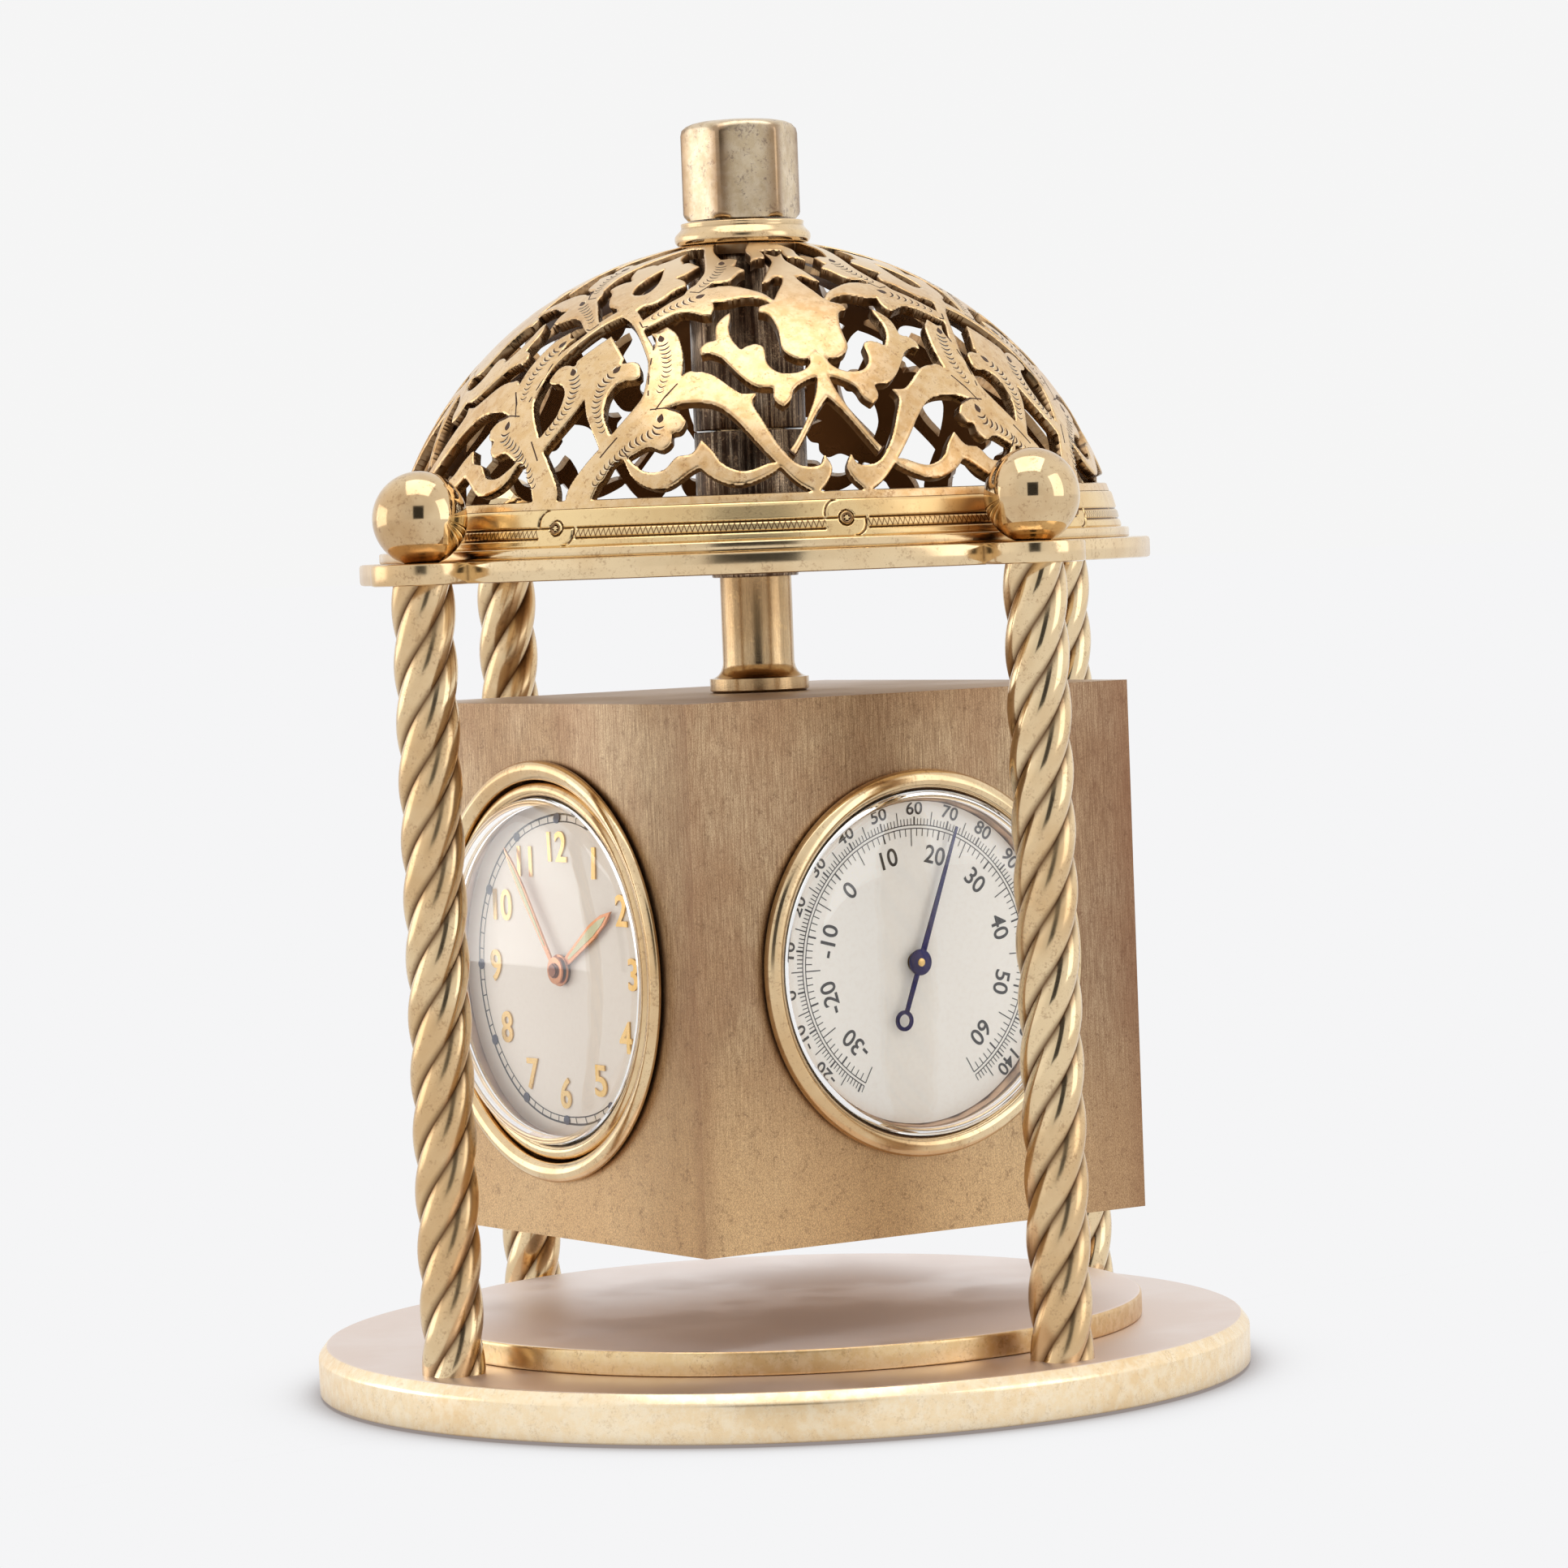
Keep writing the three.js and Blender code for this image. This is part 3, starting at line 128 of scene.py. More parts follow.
def rgb(red, green, blue):
    def linear(v):
        v = v / 255
        return v / 12.92 if v <= 0.04045 else ((v + 0.055) / 1.055) ** 2.4

    return (linear(red), linear(green), linear(blue), 1)


def noise(tree, scale, detail=3, roughness=0.55, stretch=None, shift=0.0):
    place = node(tree, "ShaderNodeTexCoord").outputs["Object"]
    if stretch or shift:
        mapped = node(tree, "ShaderNodeMapping", {"Vector": place})
        mapped.inputs["Scale"].default_value = stretch or (1, 1, 1)
        mapped.inputs["Location"].default_value = (shift, shift, shift)
        place = mapped.outputs[0]
    made = node(
        tree,
        "ShaderNodeTexNoise",
        {"Vector": place, "Scale": scale, "Detail": detail, "Roughness": roughness},
    )
    return made.outputs[0]


def newGroup(name, amounts, masks):
    tree = bpy.data.node_groups.new(name, "ShaderNodeTree")
    for label in amounts:
        tree.interface.new_socket(name=label, in_out="INPUT", socket_type="NodeSocketFloat")
    for label in masks:
        tree.interface.new_socket(name=label, in_out="OUTPUT", socket_type="NodeSocketFloat")
    given = tree.nodes.new("NodeGroupInput").outputs
    result = tree.nodes.new("NodeGroupOutput").inputs
    for label, mask in masks.items():
        value = mask(tree)
        if label in amounts:
            value = math2(tree, "MULTIPLY", value, given[label])
        tree.links.new(value, result[label])
    return tree


# Age of any metal. Scales are spots per metre.
ageScales = {"cloud": 34, "mottle": 650, "fleck": 2600, "fleckPatch": 620, "grain": 3200, "speckle": 1700}


def flecks(tree):
    small = noise(tree, ageScales["fleck"], 3, 0.75)
    patches = noise(tree, ageScales["fleckPatch"], 4, 0.65, shift=0.3)
    return remap(tree, math2(tree, "MULTIPLY", small, patches), 0.27, 0.4)


# mask of upward faces, for a sheen painted in the colour to stand in for the bright light from above
def facingUp(tree):
    normal = node(tree, "ShaderNodeNewGeometry").outputs["Normal"]
    return remap(tree, node(tree, "ShaderNodeSeparateXYZ", {0: normal}).outputs["Z"], 0.75, 0.97)


# painted shade: concave places, found by their Pointiness, darkened where shade falls in grooves and hollows
def valleys(tree):
    return remap(tree, node(tree, "ShaderNodeNewGeometry").outputs["Pointiness"], 0.498, 0.462)


age = newGroup(
    "metal age",
    ("Mottle", "Flecks", "Grain", "ValleyShade"),
    {
        "Cloud": lambda tree: remap(tree, noise(tree, ageScales["cloud"], 5, 0.62), 0.36, 0.66),
        "Mottle": lambda tree: remap(tree, noise(tree, ageScales["mottle"], 5, 0.65, shift=0.7), 0.38, 0.64),
        "Flecks": flecks,
        "Grain": lambda tree: noise(tree, ageScales["grain"], 2, 0.6),
        "ValleyShade": valleys,
        "Up": facingUp,
    },
)

# Upright brushing, and the stains of the cube. A stretch is lines per metre: across, across, up.
brushing = {
    "streak": (6500, 6500, 300),
    "broad": (3200, 3200, 130),
    "fine": (12000, 12000, 5000),
    "smear": (70, 70, 34),
    "tube": (2200, 2200, 45),
    "broadShare": 0.55,
    "fineShare": 0.85,
    "cornerReach": 3.4,
    "cornerFull": 0.3,
}
cubeFoot, cubeTop = heights("cube_case")


def brushed(key, detail, roughness, low, high, share=1.0):
    def mask(tree):
        return remap(tree, noise(tree, 1, detail, roughness, stretch=brushing[key]), low, high, 0.0, share)

    return mask


def lowHalf(tree):
    place = node(tree, "ShaderNodeTexCoord").outputs["Object"]
    height = node(tree, "ShaderNodeSeparateXYZ", {0: place}).outputs["Z"]
    return remap(tree, height, (cubeFoot + cubeTop) / 2 * mm, cubeFoot * mm)


def cubeCorners(tree):
    place = node(tree, "ShaderNodeTexCoord").outputs["Object"]
    outward = -Vector(joints["clock_pull"]["axis"])
    sideways = Vector((0, 0, 1)).cross(outward)
    half = max(v.co.dot(outward) for v in nodes["cube_case"].data.vertices)
    gaps = []
    for way in (outward, sideways):
        along = node(tree, "ShaderNodeVectorMath", {0: place, 1: way}, operation="DOT_PRODUCT").outputs["Value"]
        gaps.append(math2(tree, "SUBTRACT", half, math2(tree, "ABSOLUTE", along)))
    return remap(tree, total(tree, *gaps), brushing["cornerReach"] * mm, brushing["cornerFull"] * mm)


brush = newGroup(
    "upright brushing",
    ("Streak", "Broad", "Fine", "Smear", "Low", "Corner"),
    {
        "Streak": brushed("streak", 3, 0.7, 0.38, 0.64),
        "Broad": brushed("broad", 4, 0.7, 0.42, 0.66, brushing["broadShare"]),
        "Fine": brushed("fine", 2, 0.7, 0.42, 0.58, brushing["fineShare"]),
        "Ridge": lambda tree: noise(tree, 1, 2, 0.7, stretch=brushing["fine"]),
        "Smear": brushed("smear", 5, 0.62, 0.36, 0.68),
        "Low": lowHalf,
        "Corner": cubeCorners,
    },
)


def newMaterial(name):
    material = bpy.data.materials.new(name)
    material.use_nodes = True
    tree = material.node_tree
    return material, tree, tree.nodes["Principled BSDF"]


def fill(tree, shader, values):
    for key, value in values.items():
        if isinstance(value, bpy.types.NodeSocket):
            tree.links.new(value, shader.inputs[key])
        else:
            shader.inputs[key].default_value = value


grainHeight = 0.03 * mm


def metal(name, look):
    material, tree, shader = newMaterial(name)
    amounts = {
        "Mottle": look.get("mottle", 0.0),
        "Flecks": look.get("flecks", 0.5),
        "Grain": look.get("grain", 0.3),
        "ValleyShade": look.get("valleyShade", 0.0),
    }
    aged = node(tree, "ShaderNodeGroup", amounts, node_tree=age).outputs
    color = blendColors(tree, aged["Cloud"], look["color"], look["tint"])
    color = blendColors(tree, aged["Mottle"], color, look.get("pale", look["tint"]))
    rough = remap(tree, aged["Cloud"], 0, 1, look["rough"], look["rough"] + look.get("dull", 0.1))
    height = aged["Grain"]
    # wide upright light and dark streaks: partly brushing, partly painted highlights on the round sleeves
    if look.get("streaksAndSheen"):
        tube = noise(tree, 1, 3, 0.7, stretch=brushing["tube"])
        color = blendColors(tree, remap(tree, tube, 0.4, 0.58, 0.0, look["streaksAndSheen"]), color, look["line"])
    if look.get("brushed"):
        amounts = {key: look["brushed"] for key in ("Streak", "Broad", "Fine")}
        amounts.update({"Smear": look.get("smear", 0.4), "Low": 0.8, "Corner": look.get("corner", 0.0)})
        lines = node(tree, "ShaderNodeGroup", amounts, node_tree=brush).outputs
        color = blendColors(tree, lines["Streak"], color, look["line"])
        color = blendColors(tree, lines["Broad"], color, look["line"])
        color = blendColors(tree, lines["Smear"], color, look.get("stain", look["line"]))
        if look.get("low"):
            color = blendColors(tree, lines["Low"], color, look["low"])
        if look.get("corner"):
            color = blendColors(tree, lines["Corner"], color, look["stain"])
        color = blendColors(tree, lines["Fine"], color, look["line"])
        height = math2(tree, "ADD", height, lines["Ridge"])
    color = blendColors(tree, aged["Flecks"], color, look.get("spot", look["tint"]))
    # painted shade in grooves and hollows, in the 'deep' colour
    if look.get("valleyShade"):
        color = blendColors(tree, aged["ValleyShade"], color, look["deep"])
    # upward faces take the 'top' colour and turn duller: partly painted sheen from the light above, partly
    # their duller finish
    if look.get("top"):
        color = blendColors(tree, aged["Up"], color, look["top"])
        duller = math2(tree, "MULTIPLY", aged["Up"], look.get("topDull", 0.25))
        rough = math2(tree, "ADD", rough, duller, clamp=True)
    relief = {"Strength": look.get("relief", 0.25), "Distance": grainHeight, "Height": height}
    bump = node(tree, "ShaderNodeBump", relief)
    values = {"Base Color": color, "Roughness": rough, "Metallic": 1.0, "Normal": bump.outputs[0]}
    fill(tree, shader, values)
    return material


def paint(name, color, roughness, metallic=0.0, speckle=0.0, dark=None):
    material, tree, shader = newMaterial(name)
    if speckle:
        share = remap(tree, noise(tree, ageScales["speckle"], 3, 0.6), 0.4, 0.75, 0.0, speckle)
        color = blendColors(tree, share, color, dark)
    fill(tree, shader, {"Base Color": color, "Roughness": roughness, "Metallic": metallic})
    return material


def clearGlass():
    material, tree, shader = newMaterial("crystal glass")
    white = (1, 1, 1, 1)
    fill(tree, shader, {"Base Color": white, "Roughness": 0.0, "IOR": 1.45, "Transmission Weight": 1.0})
    clear = node(tree, "ShaderNodeBsdfTransparent", {"Color": (0.96, 0.96, 0.96, 1)})
    path = node(tree, "ShaderNodeLightPath")
    share = math2(tree, "MAXIMUM", path.outputs["Is Shadow Ray"], path.outputs["Is Diffuse Ray"])
    mix = node(tree, "ShaderNodeMixShader", {0: share, 1: shader.outputs[0], 2: clear.outputs[0]})
    tree.links.new(mix.outputs[0], tree.nodes["Material Output"].inputs["Surface"])
    return material


def overlay(material, share, color):
    tree = material.node_tree
    shader = tree.nodes["Principled BSDF"]
    base = shader.inputs["Base Color"].links[0].from_socket
    tree.links.new(blendColors(tree, share, base, color), shader.inputs["Base Color"])
    return material


def stainByReach(material, centre, bare, stained, share, color):
    # darkens by the distance from an upright axis, or from four that mirror each other: painted shade on the
    # rope, patina on the knob
    tree = material.node_tree
    split = node(tree, "ShaderNodeSeparateXYZ", {0: node(tree, "ShaderNodeTexCoord").outputs["Object"]})
    squares = []
    for output, middle in zip(split.outputs, centre):
        side = math2(tree, "SUBTRACT", math2(tree, "ABSOLUTE", output), middle)
        squares.append(math2(tree, "MULTIPLY", side, side))
    away = math2(tree, "SQRT", math2(tree, "ADD", *squares))
    return overlay(material, remap(tree, away, bare * mm, stained * mm, 0.0, share), color)


# The belt under the dome: eight lengths that lap, each with a strip of fine zigzag. Places across a lap
# are millimetres from its middle, and heights are shares of the belt above its step.

belt = {
    "laps": 8,
    "teeth": 430,
    "step": 1.4,
    "stripLow": 0.23,
    "stripHigh": 0.5,
    "lapLeft": -2.7,
    "lapRight": 2.6,
    "stripAgain": 2.9,
    "curve": 1.75,
    "upperCurve": 0.95,
    "lowerCurve": -0.85,
    "curveGap": 0.05,
    "groove": 0.26,
    "grooveHalf": 0.28,
    "rivetEye": 0.35,
    "rivetRise": 0.16,
    "rivetRing": 0.62,
    "rivetRingHalf": 0.24,
    "rivetEdge": 1.05,
    "rivetFloor": -0.2,
    "darkRing": 0.55,
    "stepRound": 0.3,
    "stepTop": 0.1,
    "stepIn": 0.5,
    # height over the step or under the top, and how far the belt stands back from the step's rim
    "lowProfile": [(0, 1.1), (0.25, 1.0)],
    "highProfile": [(0.45, 2.1), (0.12, 2.25), (0, 2.6)],
    "plain": 0.15,
    "row": 0.09,
    "quickRow": 0.16,
    "each": 250,
    "quickEach": 150,
}
beltFoot, beltTop = heights("dome_ring")
beltReach = reach("dome_ring")
beltStep = beltFoot + belt["step"]
stripLow = beltStep + belt["stripLow"] * (beltTop - beltStep)
stripHigh = beltStep + belt["stripHigh"] * (beltTop - beltStep)
beltTurn = math.radians(-70.7)  # a lap and the double leaf of the dome stand over this angle

# The dome is part of a ball; its own outline gives the ball

dome = {
    "sheet": 1.4,
    "rim": 1.1,  # plain metal along the foot
    "crown": 1.0,  # and round the eye
    "edge": 0.3,
    "edgeDrop": 0.6,
    "cell": 0.25,
    "quickCell": 0.42,
}
domeSpan = full / 4
domeOuter = measure("pierced_dome", upright)
domeFoot, domeTop = domeOuter["low"], domeOuter["high"]
domeEye = domeOuter["inner"]
domeClimb = domeTop - domeFoot
domeCentre = (domeTop + domeFoot - (domeOuter["outer"] ** 2 - domeEye**2) / domeClimb) / 2
domeRadius = math.hypot(domeEye, domeTop - domeCentre)


def polarAngle(height):
    return math.acos((height - domeCentre) / domeRadius)


eyeAngle, footAngle = polarAngle(domeTop), polarAngle(domeFoot)
rimAngle = polarAngle(domeFoot + dome["rim"])
crownAngle = math.asin((domeEye + dome["crown"]) / domeRadius)


def zigzagMetal(name, look):
    # the zigzag is left out where the lengths lap, and the rivet there has a dark ring
    material = metal(name, look)
    tree = material.node_tree
    place = node(tree, "ShaderNodeTexCoord").outputs["Object"]
    x, y, z = node(tree, "ShaderNodeSeparateXYZ", {0: place}).outputs
    angle = math2(tree, "ARCTAN2", y, x)
    wave = math2(tree, "PINGPONG", math2(tree, "MULTIPLY", angle, belt["teeth"] / full), 0.5)
    climb = remap(tree, z, stripLow * mm, stripHigh * mm)
    groove = remap(tree, distance(tree, math2(tree, "MULTIPLY", wave, 2.0), climb), 0.08, 0.3, 1.0, 0.0)
    lapHalf = full / belt["laps"] / 2
    local = math2(tree, "WRAP", math2(tree, "SUBTRACT", angle, beltTurn), -lapHalf, lapHalf)
    away = math2(tree, "ABSOLUTE", math2(tree, "MULTIPLY", local, beltReach))
    kept = remap(tree, away, belt["stripAgain"] - 0.2, belt["stripAgain"] - 0.05)
    inStrip = remap(tree, product(tree, climb, math2(tree, "SUBTRACT", 1.0, climb)), 0.01, 0.06)
    zigzag = product(tree, groove, kept, inStrip, 0.95)
    across = math2(tree, "MULTIPLY", away, mm)
    up = distance(tree, z, stripHigh * mm)
    squares = total(tree, product(tree, across, across), product(tree, up, up))
    fromRing = distance(tree, math2(tree, "SQRT", squares), belt["darkRing"] * mm)
    ring = remap(tree, fromRing, 0.14 * mm, 0.26 * mm, 0.9, 0.0)
    return overlay(material, math2(tree, "MAXIMUM", zigzag, ring), look["line"])


def domeMetal(name, look):
    # painted shade: the sheet is darkened on its cut edges and inside, where less light falls
    material = metal(name, look)
    tree = material.node_tree
    place = node(tree, "ShaderNodeTexCoord").outputs["Object"]
    centre = (0, 0, domeCentre * mm)
    outward = node(tree, "ShaderNodeVectorMath", {0: place, 1: centre}, operation="SUBTRACT").outputs[0]
    unit = node(tree, "ShaderNodeVectorMath", {0: outward}, operation="NORMALIZE").outputs[0]
    normal = node(tree, "ShaderNodeNewGeometry").outputs["Normal"]
    facing = node(tree, "ShaderNodeVectorMath", {0: unit, 1: normal}, operation="DOT_PRODUCT").outputs["Value"]
    walls = remap(tree, facing, 0.85, 0.3, 0.0, 0.75)
    inside = remap(tree, facing, 0.2, -0.35, 0.0, 0.25)
    return overlay(material, math2(tree, "ADD", walls, inside), look["paintedShade"])


# darker and browner towards the far edge of the thermometer's face
farSideDarkening = {"start": -12, "full": -32, "share": 0.4, "color": rgb(112, 70, 54)}


def stainFarSide(material):
    # the thermometer's face is browner towards the edge away from the clock
    tree = material.node_tree
    place = node(tree, "ShaderNodeTexCoord").outputs["Object"]
    toClock = Vector(joints["clock_pull"]["axis"])
    outward = -Vector(joints["thermometer_turn"]["axis"])
    half = max(v.co.dot(outward) for v in nodes["cube_case"].data.vertices)
    spots = []
    for way in (toClock, outward):
        dot = node(tree, "ShaderNodeVectorMath", {0: place, 1: way}, operation="DOT_PRODUCT")
        spots.append(dot.outputs["Value"])
    far = remap(tree, spots[0], farSideDarkening["start"] * mm, farSideDarkening["full"] * mm, 0.0, farSideDarkening["share"])
    onFace = remap(tree, spots[1], half - mm, half - 0.5 * mm)
    return overlay(material, math2(tree, "MULTIPLY", far, onFace), farSideDarkening["color"])


# The rope columns: four strands, with painted shade where they meet

rope = {"strandCircle": 1.6, "strandRadius": 2.5, "pitch": 30.0, "around": 64, "climbs": 220}
columnTurns = {"back_right": 45, "back_left": 135, "front_left": 225, "front_right": 315}
balls = {"radius": 6.1, "seat": 2.2}
columnLow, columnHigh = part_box("column_back_right")
columnMiddle = (columnLow + columnHigh).xy / 2


def ropeReach(part):
    # from the middle of a column to its surface, at an angle from the crest of a strand
    circle, radius = rope["strandCircle"], rope["strandRadius"]
    return circle * math.cos(part) + math.sqrt(radius**2 - (circle * math.sin(part)) ** 2)


strandCrest = ropeReach(0)
strandMeet = ropeReach(math.pi / 4)
knobReach = measure("hex_knob", upright)["outer"]
polished = {
    "color": rgb(232, 208, 168),
    "tint": rgb(210, 176, 130),
    "spot": rgb(140, 104, 72),
    "rough": 0.13,
    "dull": 0.12,
    "flecks": 0.4,
    "relief": 0.1,
    # painted shade in grooves and hollows, and its colour
    "valleyShade": 1.0,
    "deep": rgb(84, 56, 34),
}
golden = {
    "color": rgb(232, 202, 152),
    "tint": rgb(212, 174, 122),
    "pale": rgb(246, 226, 192),
    "spot": rgb(164, 124, 84),
    "mottle": 0.45,
    "rough": 0.24,
    "dull": 0.14,
    "flecks": 0.4,
    "top": rgb(222, 204, 192),
    "topDull": 0.0,
}
finishes = {
    "golden": metal("golden brass", golden),
    "plate": metal(
        "base brass",
        {
            **golden,
            "color": rgb(252, 230, 192),
            "tint": rgb(240, 210, 164),
            "pale": rgb(255, 244, 220),
            "flecks": 0.2,
            "rough": 0.2,
            "top": rgb(228, 212, 202),
            "topDull": 0.15,
        },
    ),
    "disc": metal("dull disc brass", {**golden, "mottle": 0.3, "top": rgb(242, 230, 224), "topDull": 0.22}),
    "dome": domeMetal(
        "pierced brass",
        {
            "color": rgb(226, 192, 142),
            "tint": rgb(204, 162, 110),
            "spot": rgb(156, 112, 72),
            "pale": rgb(240, 214, 176),
            "mottle": 0.45,
            "rough": 0.2,
            "dull": 0.12,
            "flecks": 0.6,
            "relief": 0.08,
            # colour of the painted shade on the cut edges and inside
            "paintedShade": rgb(88, 62, 42),
            "top": rgb(230, 206, 170),
            "topDull": 0.0,
        },
    ),
    "polished": metal("polished brass", polished),
    # painted shade in the grooves between the strands
    "rope": stainByReach(
        metal("rope brass", polished),
        columnMiddle,
        strandMeet + 0.6 * (strandCrest - strandMeet),
        strandMeet + 0.05 * (strandCrest - strandMeet),
        0.75,
        rgb(104, 74, 48),
    ),
    "ball": metal(
        "mirror brass",
        {
            "color": rgb(228, 204, 164),
            "tint": rgb(188, 152, 108),
            "spot": rgb(140, 104, 72),
            "rough": 0.05,
            "dull": 0.1,
            "flecks": 0.5,
            "relief": 0.08,
        },
    ),
    "cube": stainFarSide(
        metal(
            "brushed aged brass",
            {
                "color": rgb(210, 186, 150),
                "tint": rgb(198, 166, 128),
                "spot": rgb(108, 80, 60),
                "rough": 0.34,
                "dull": 0.1,
                "flecks": 0.45,
                "brushed": 0.6,
                "line": rgb(118, 90, 66),
                "stain": rgb(150, 110, 82),
                "smear": 0.45,
                "low": rgb(230, 192, 142),
                "corner": 0.35,
                "relief": 0.35,
                "top": rgb(214, 198, 186),
                "topDull": 0.1,
            },
        )
    ),
    "sleeve": metal(
        "darkened brass",
        {
            "color": rgb(236, 216, 188),
            "tint": rgb(206, 174, 138),
            "rough": 0.14,
            # light and dark streaks: brushing and painted highlights
            "streaksAndSheen": 0.95,
            "brushed": 0.6,
            "line": rgb(66, 46, 34),
            "stain": rgb(110, 82, 60),
            "smear": 0.3,
            "relief": 0.4,
        },
    ),
    "shaft": metal(
        "worn shaft brass",
        {
            "color": rgb(228, 202, 160),
            "tint": rgb(204, 170, 124),
            "rough": 0.08,
            "brushed": 0.2,
            "line": rgb(120, 90, 62),
        },
    ),
    "knob": stainByReach(
        metal(
            "worn brass",
            {
                "color": rgb(222, 202, 168),
                "tint": rgb(176, 152, 120),
                "spot": rgb(138, 120, 108),
                "pale": rgb(236, 220, 196),
                "mottle": 0.4,
                "rough": 0.2,
                "dull": 0.16,
                "flecks": 0.8,
            },
        ),
        (0, 0),
        0.88 * knobReach,
        0.97 * knobReach,
        0.7,
        rgb(132, 98, 66),
    ),
    "band": zigzagMetal(
        "belt brass",
        {
            "color": rgb(236, 208, 156),
            "tint": rgb(216, 180, 126),
            "spot": rgb(156, 116, 78),
            "rough": 0.2,
            "dull": 0.12,
            "flecks": 0.4,
            "line": rgb(112, 80, 52),
            # painted shade in the belt's grooves, and its colour
            "valleyShade": 0.95,
            "deep": rgb(96, 66, 42),
        },
    ),
    "ledge": metal(
        "pale ledge brass", {"color": rgb(232, 200, 168), "tint": rgb(214, 176, 142), "rough": 0.45}
    ),
    "steel": metal("plain steel", {"color": rgb(196, 196, 198), "tint": rgb(170, 170, 174), "rough": 0.3}),
    "copper": metal(
        "copper", {"color": rgb(226, 166, 124), "tint": rgb(206, 140, 98), "rough": 0.2, "relief": 0.1}
    ),
    "spotCopper": metal(
        "darker copper", {"color": rgb(150, 96, 70), "tint": rgb(130, 80, 58), "rough": 0.3}
    ),
    "blued": metal(
        "blued steel",
        {
            "color": rgb(44, 50, 96),
            "tint": rgb(58, 52, 84),
            "spot": rgb(40, 36, 54),
            "rough": 0.3,
            "relief": 0.1,
        },
    ),
    "numeral": metal("gilt numerals", {"color": rgb(232, 196, 132), "tint": rgb(220, 178, 110), "rough": 0.2}),
    "dial": paint("cream dial", rgb(255, 250, 240), 0.5, 0.05, 0.25, rgb(242, 232, 218)),
    "clockDial": paint("silvered dial", rgb(240, 228, 213), 0.45, 0.15, 0.3, rgb(232, 218, 202)),
    "ink": paint("dial ink", rgb(46, 42, 40), 0.5),
    "slate": paint("slate dots", rgb(58, 62, 84), 0.4),
    "lume": paint("lume", rgb(226, 222, 176), 0.6),
    # painted shade of the graver cuts and steps, and painted glints on their lit edges
    "markShade": paint("graver marks painted shade", rgb(74, 50, 34), 0.5, 0.6),
    "glint": metal("graver painted glints", {"color": rgb(255, 246, 222), "tint": rgb(246, 226, 186), "rough": 0.3}),
    "felt": paint("felt", rgb(40, 58, 46), 0.95, 0.0, 0.5, rgb(28, 42, 34)),
    "glass": clearGlass(),
}
print("materials ready")

# Mesh helpers. Points are millimetres until a mesh is made.


class Shape:
    def __init__(self):
        self.points = []
        self.faces = []

    def add(self, points, faces, matrix=None):
        first = len(self.points)
        if matrix is not None:
            points = [tuple(matrix @ Vector(p)) for p in points]
        self.points += [tuple(p) for p in points]
        self.faces += [[first + i for i in face] for face in faces]
        return self


madeSharp, keptSharp, bevelSharp = 38, 35, 40


def makePiece(name, points, faces, look):
    mesh = bpy.data.meshes.new(name)
    mesh.from_pydata([tuple(mm * c for c in p) for p in points], [], faces)
    mesh.validate()
    work = bmesh.new()
    work.from_mesh(mesh)
    if look.get("weld"):
        bmesh.ops.remove_doubles(work, verts=work.verts, dist=look["weld"] * mm)
    if look.get("orient", True):
        bmesh.ops.recalc_face_normals(work, faces=work.faces)
    work.to_mesh(mesh)
    work.free()
    piece = bpy.data.objects.new(name, mesh)
    bpy.context.scene.collection.objects.link(piece)
    if look.get("matrix"):
        mesh.transform(look["matrix"])
    mesh.shade_smooth()
    mesh.set_sharp_from_angle(angle=math.radians(look.get("sharp", madeSharp)))
    mesh.materials.append(finishes[look["finish"]])
    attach(piece, look["body"])
    if look.get("stands"):
        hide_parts(*look["stands"])
    return piece


def soften(piece, width):
    bevel = piece.modifiers.new("edges", "BEVEL")
    bevel.width = width * mm
    bevel.segments = 3
    bevel.limit_method = "ANGLE"
    bevel.angle_limit = math.radians(bevelSharp)


def rounded(profile, radius, steps=3, closed=True):
    points = []
    count = len(profile)
    for i, corner in enumerate(profile):
        if not closed and i in (0, count - 1):
            points.append(corner)
            continue
        here = Vector(corner)
        before = Vector(profile[i - 1]) - here
        after = Vector(profile[(i + 1) % count]) - here
        if before.length < 1e-6 or after.length < 1e-6:
            points.append(corner)
            continue
        step = min(radius, 0.45 * before.length, 0.45 * after.length)
        start = here + before.normalized() * step
        end = here + after.normalized() * step
        for k in range(steps + 1):
            t = k / steps
            points.append(tuple(start * (1 - t) ** 2 + here * 2 * t * (1 - t) + end * t**2))
    return points


def turned(profile, sides=120):
    points = []
    rings = []
    for radius, height in profile:
        if radius < 1e-6:
            rings.append([len(points)] * sides)
            points.append((0, 0, height))
        else:
            rings.append(list(range(len(points), len(points) + sides)))
            for i in range(sides):
                angle = full * i / sides
                points.append((radius * math.cos(angle), radius * math.sin(angle), height))
    faces = []
    onAxis = profile[0][0] < 1e-6
    pairs = list(zip(rings, rings[1:]))
    if not onAxis:
        pairs.append((rings[-1], rings[0]))
    for low, high in pairs:
        for i in range(sides):
            k = (i + 1) % sides
            face = []
            for index in (low[i], low[k], high[k], high[i]):
                if index not in face:
                    face.append(index)
            if len(face) > 2:
                faces.append(face)
    return points, faces


def arcPoints(centre, radius, start, end, steps):
    return [
        (
            centre[0] + radius * math.cos(start + (end - start) * i / steps),
            centre[1] + radius * math.sin(start + (end - start) * i / steps),
        )
        for i in range(steps + 1)
    ]


def prism(outline, low, high):
    count = len(outline)
    points = [(x, y, low) for x, y in outline] + [(x, y, high) for x, y in outline]
    faces = [list(range(count))[::-1], list(range(count, 2 * count))]
    for i in range(count):
        k = (i + 1) % count
        faces.append([i, k, count + k, count + i])
    return points, faces


def ringOutline(inner, outer, low, high, sides=96):
    return turned([(inner, low), (outer, low), (outer, high), (inner, high)], sides)


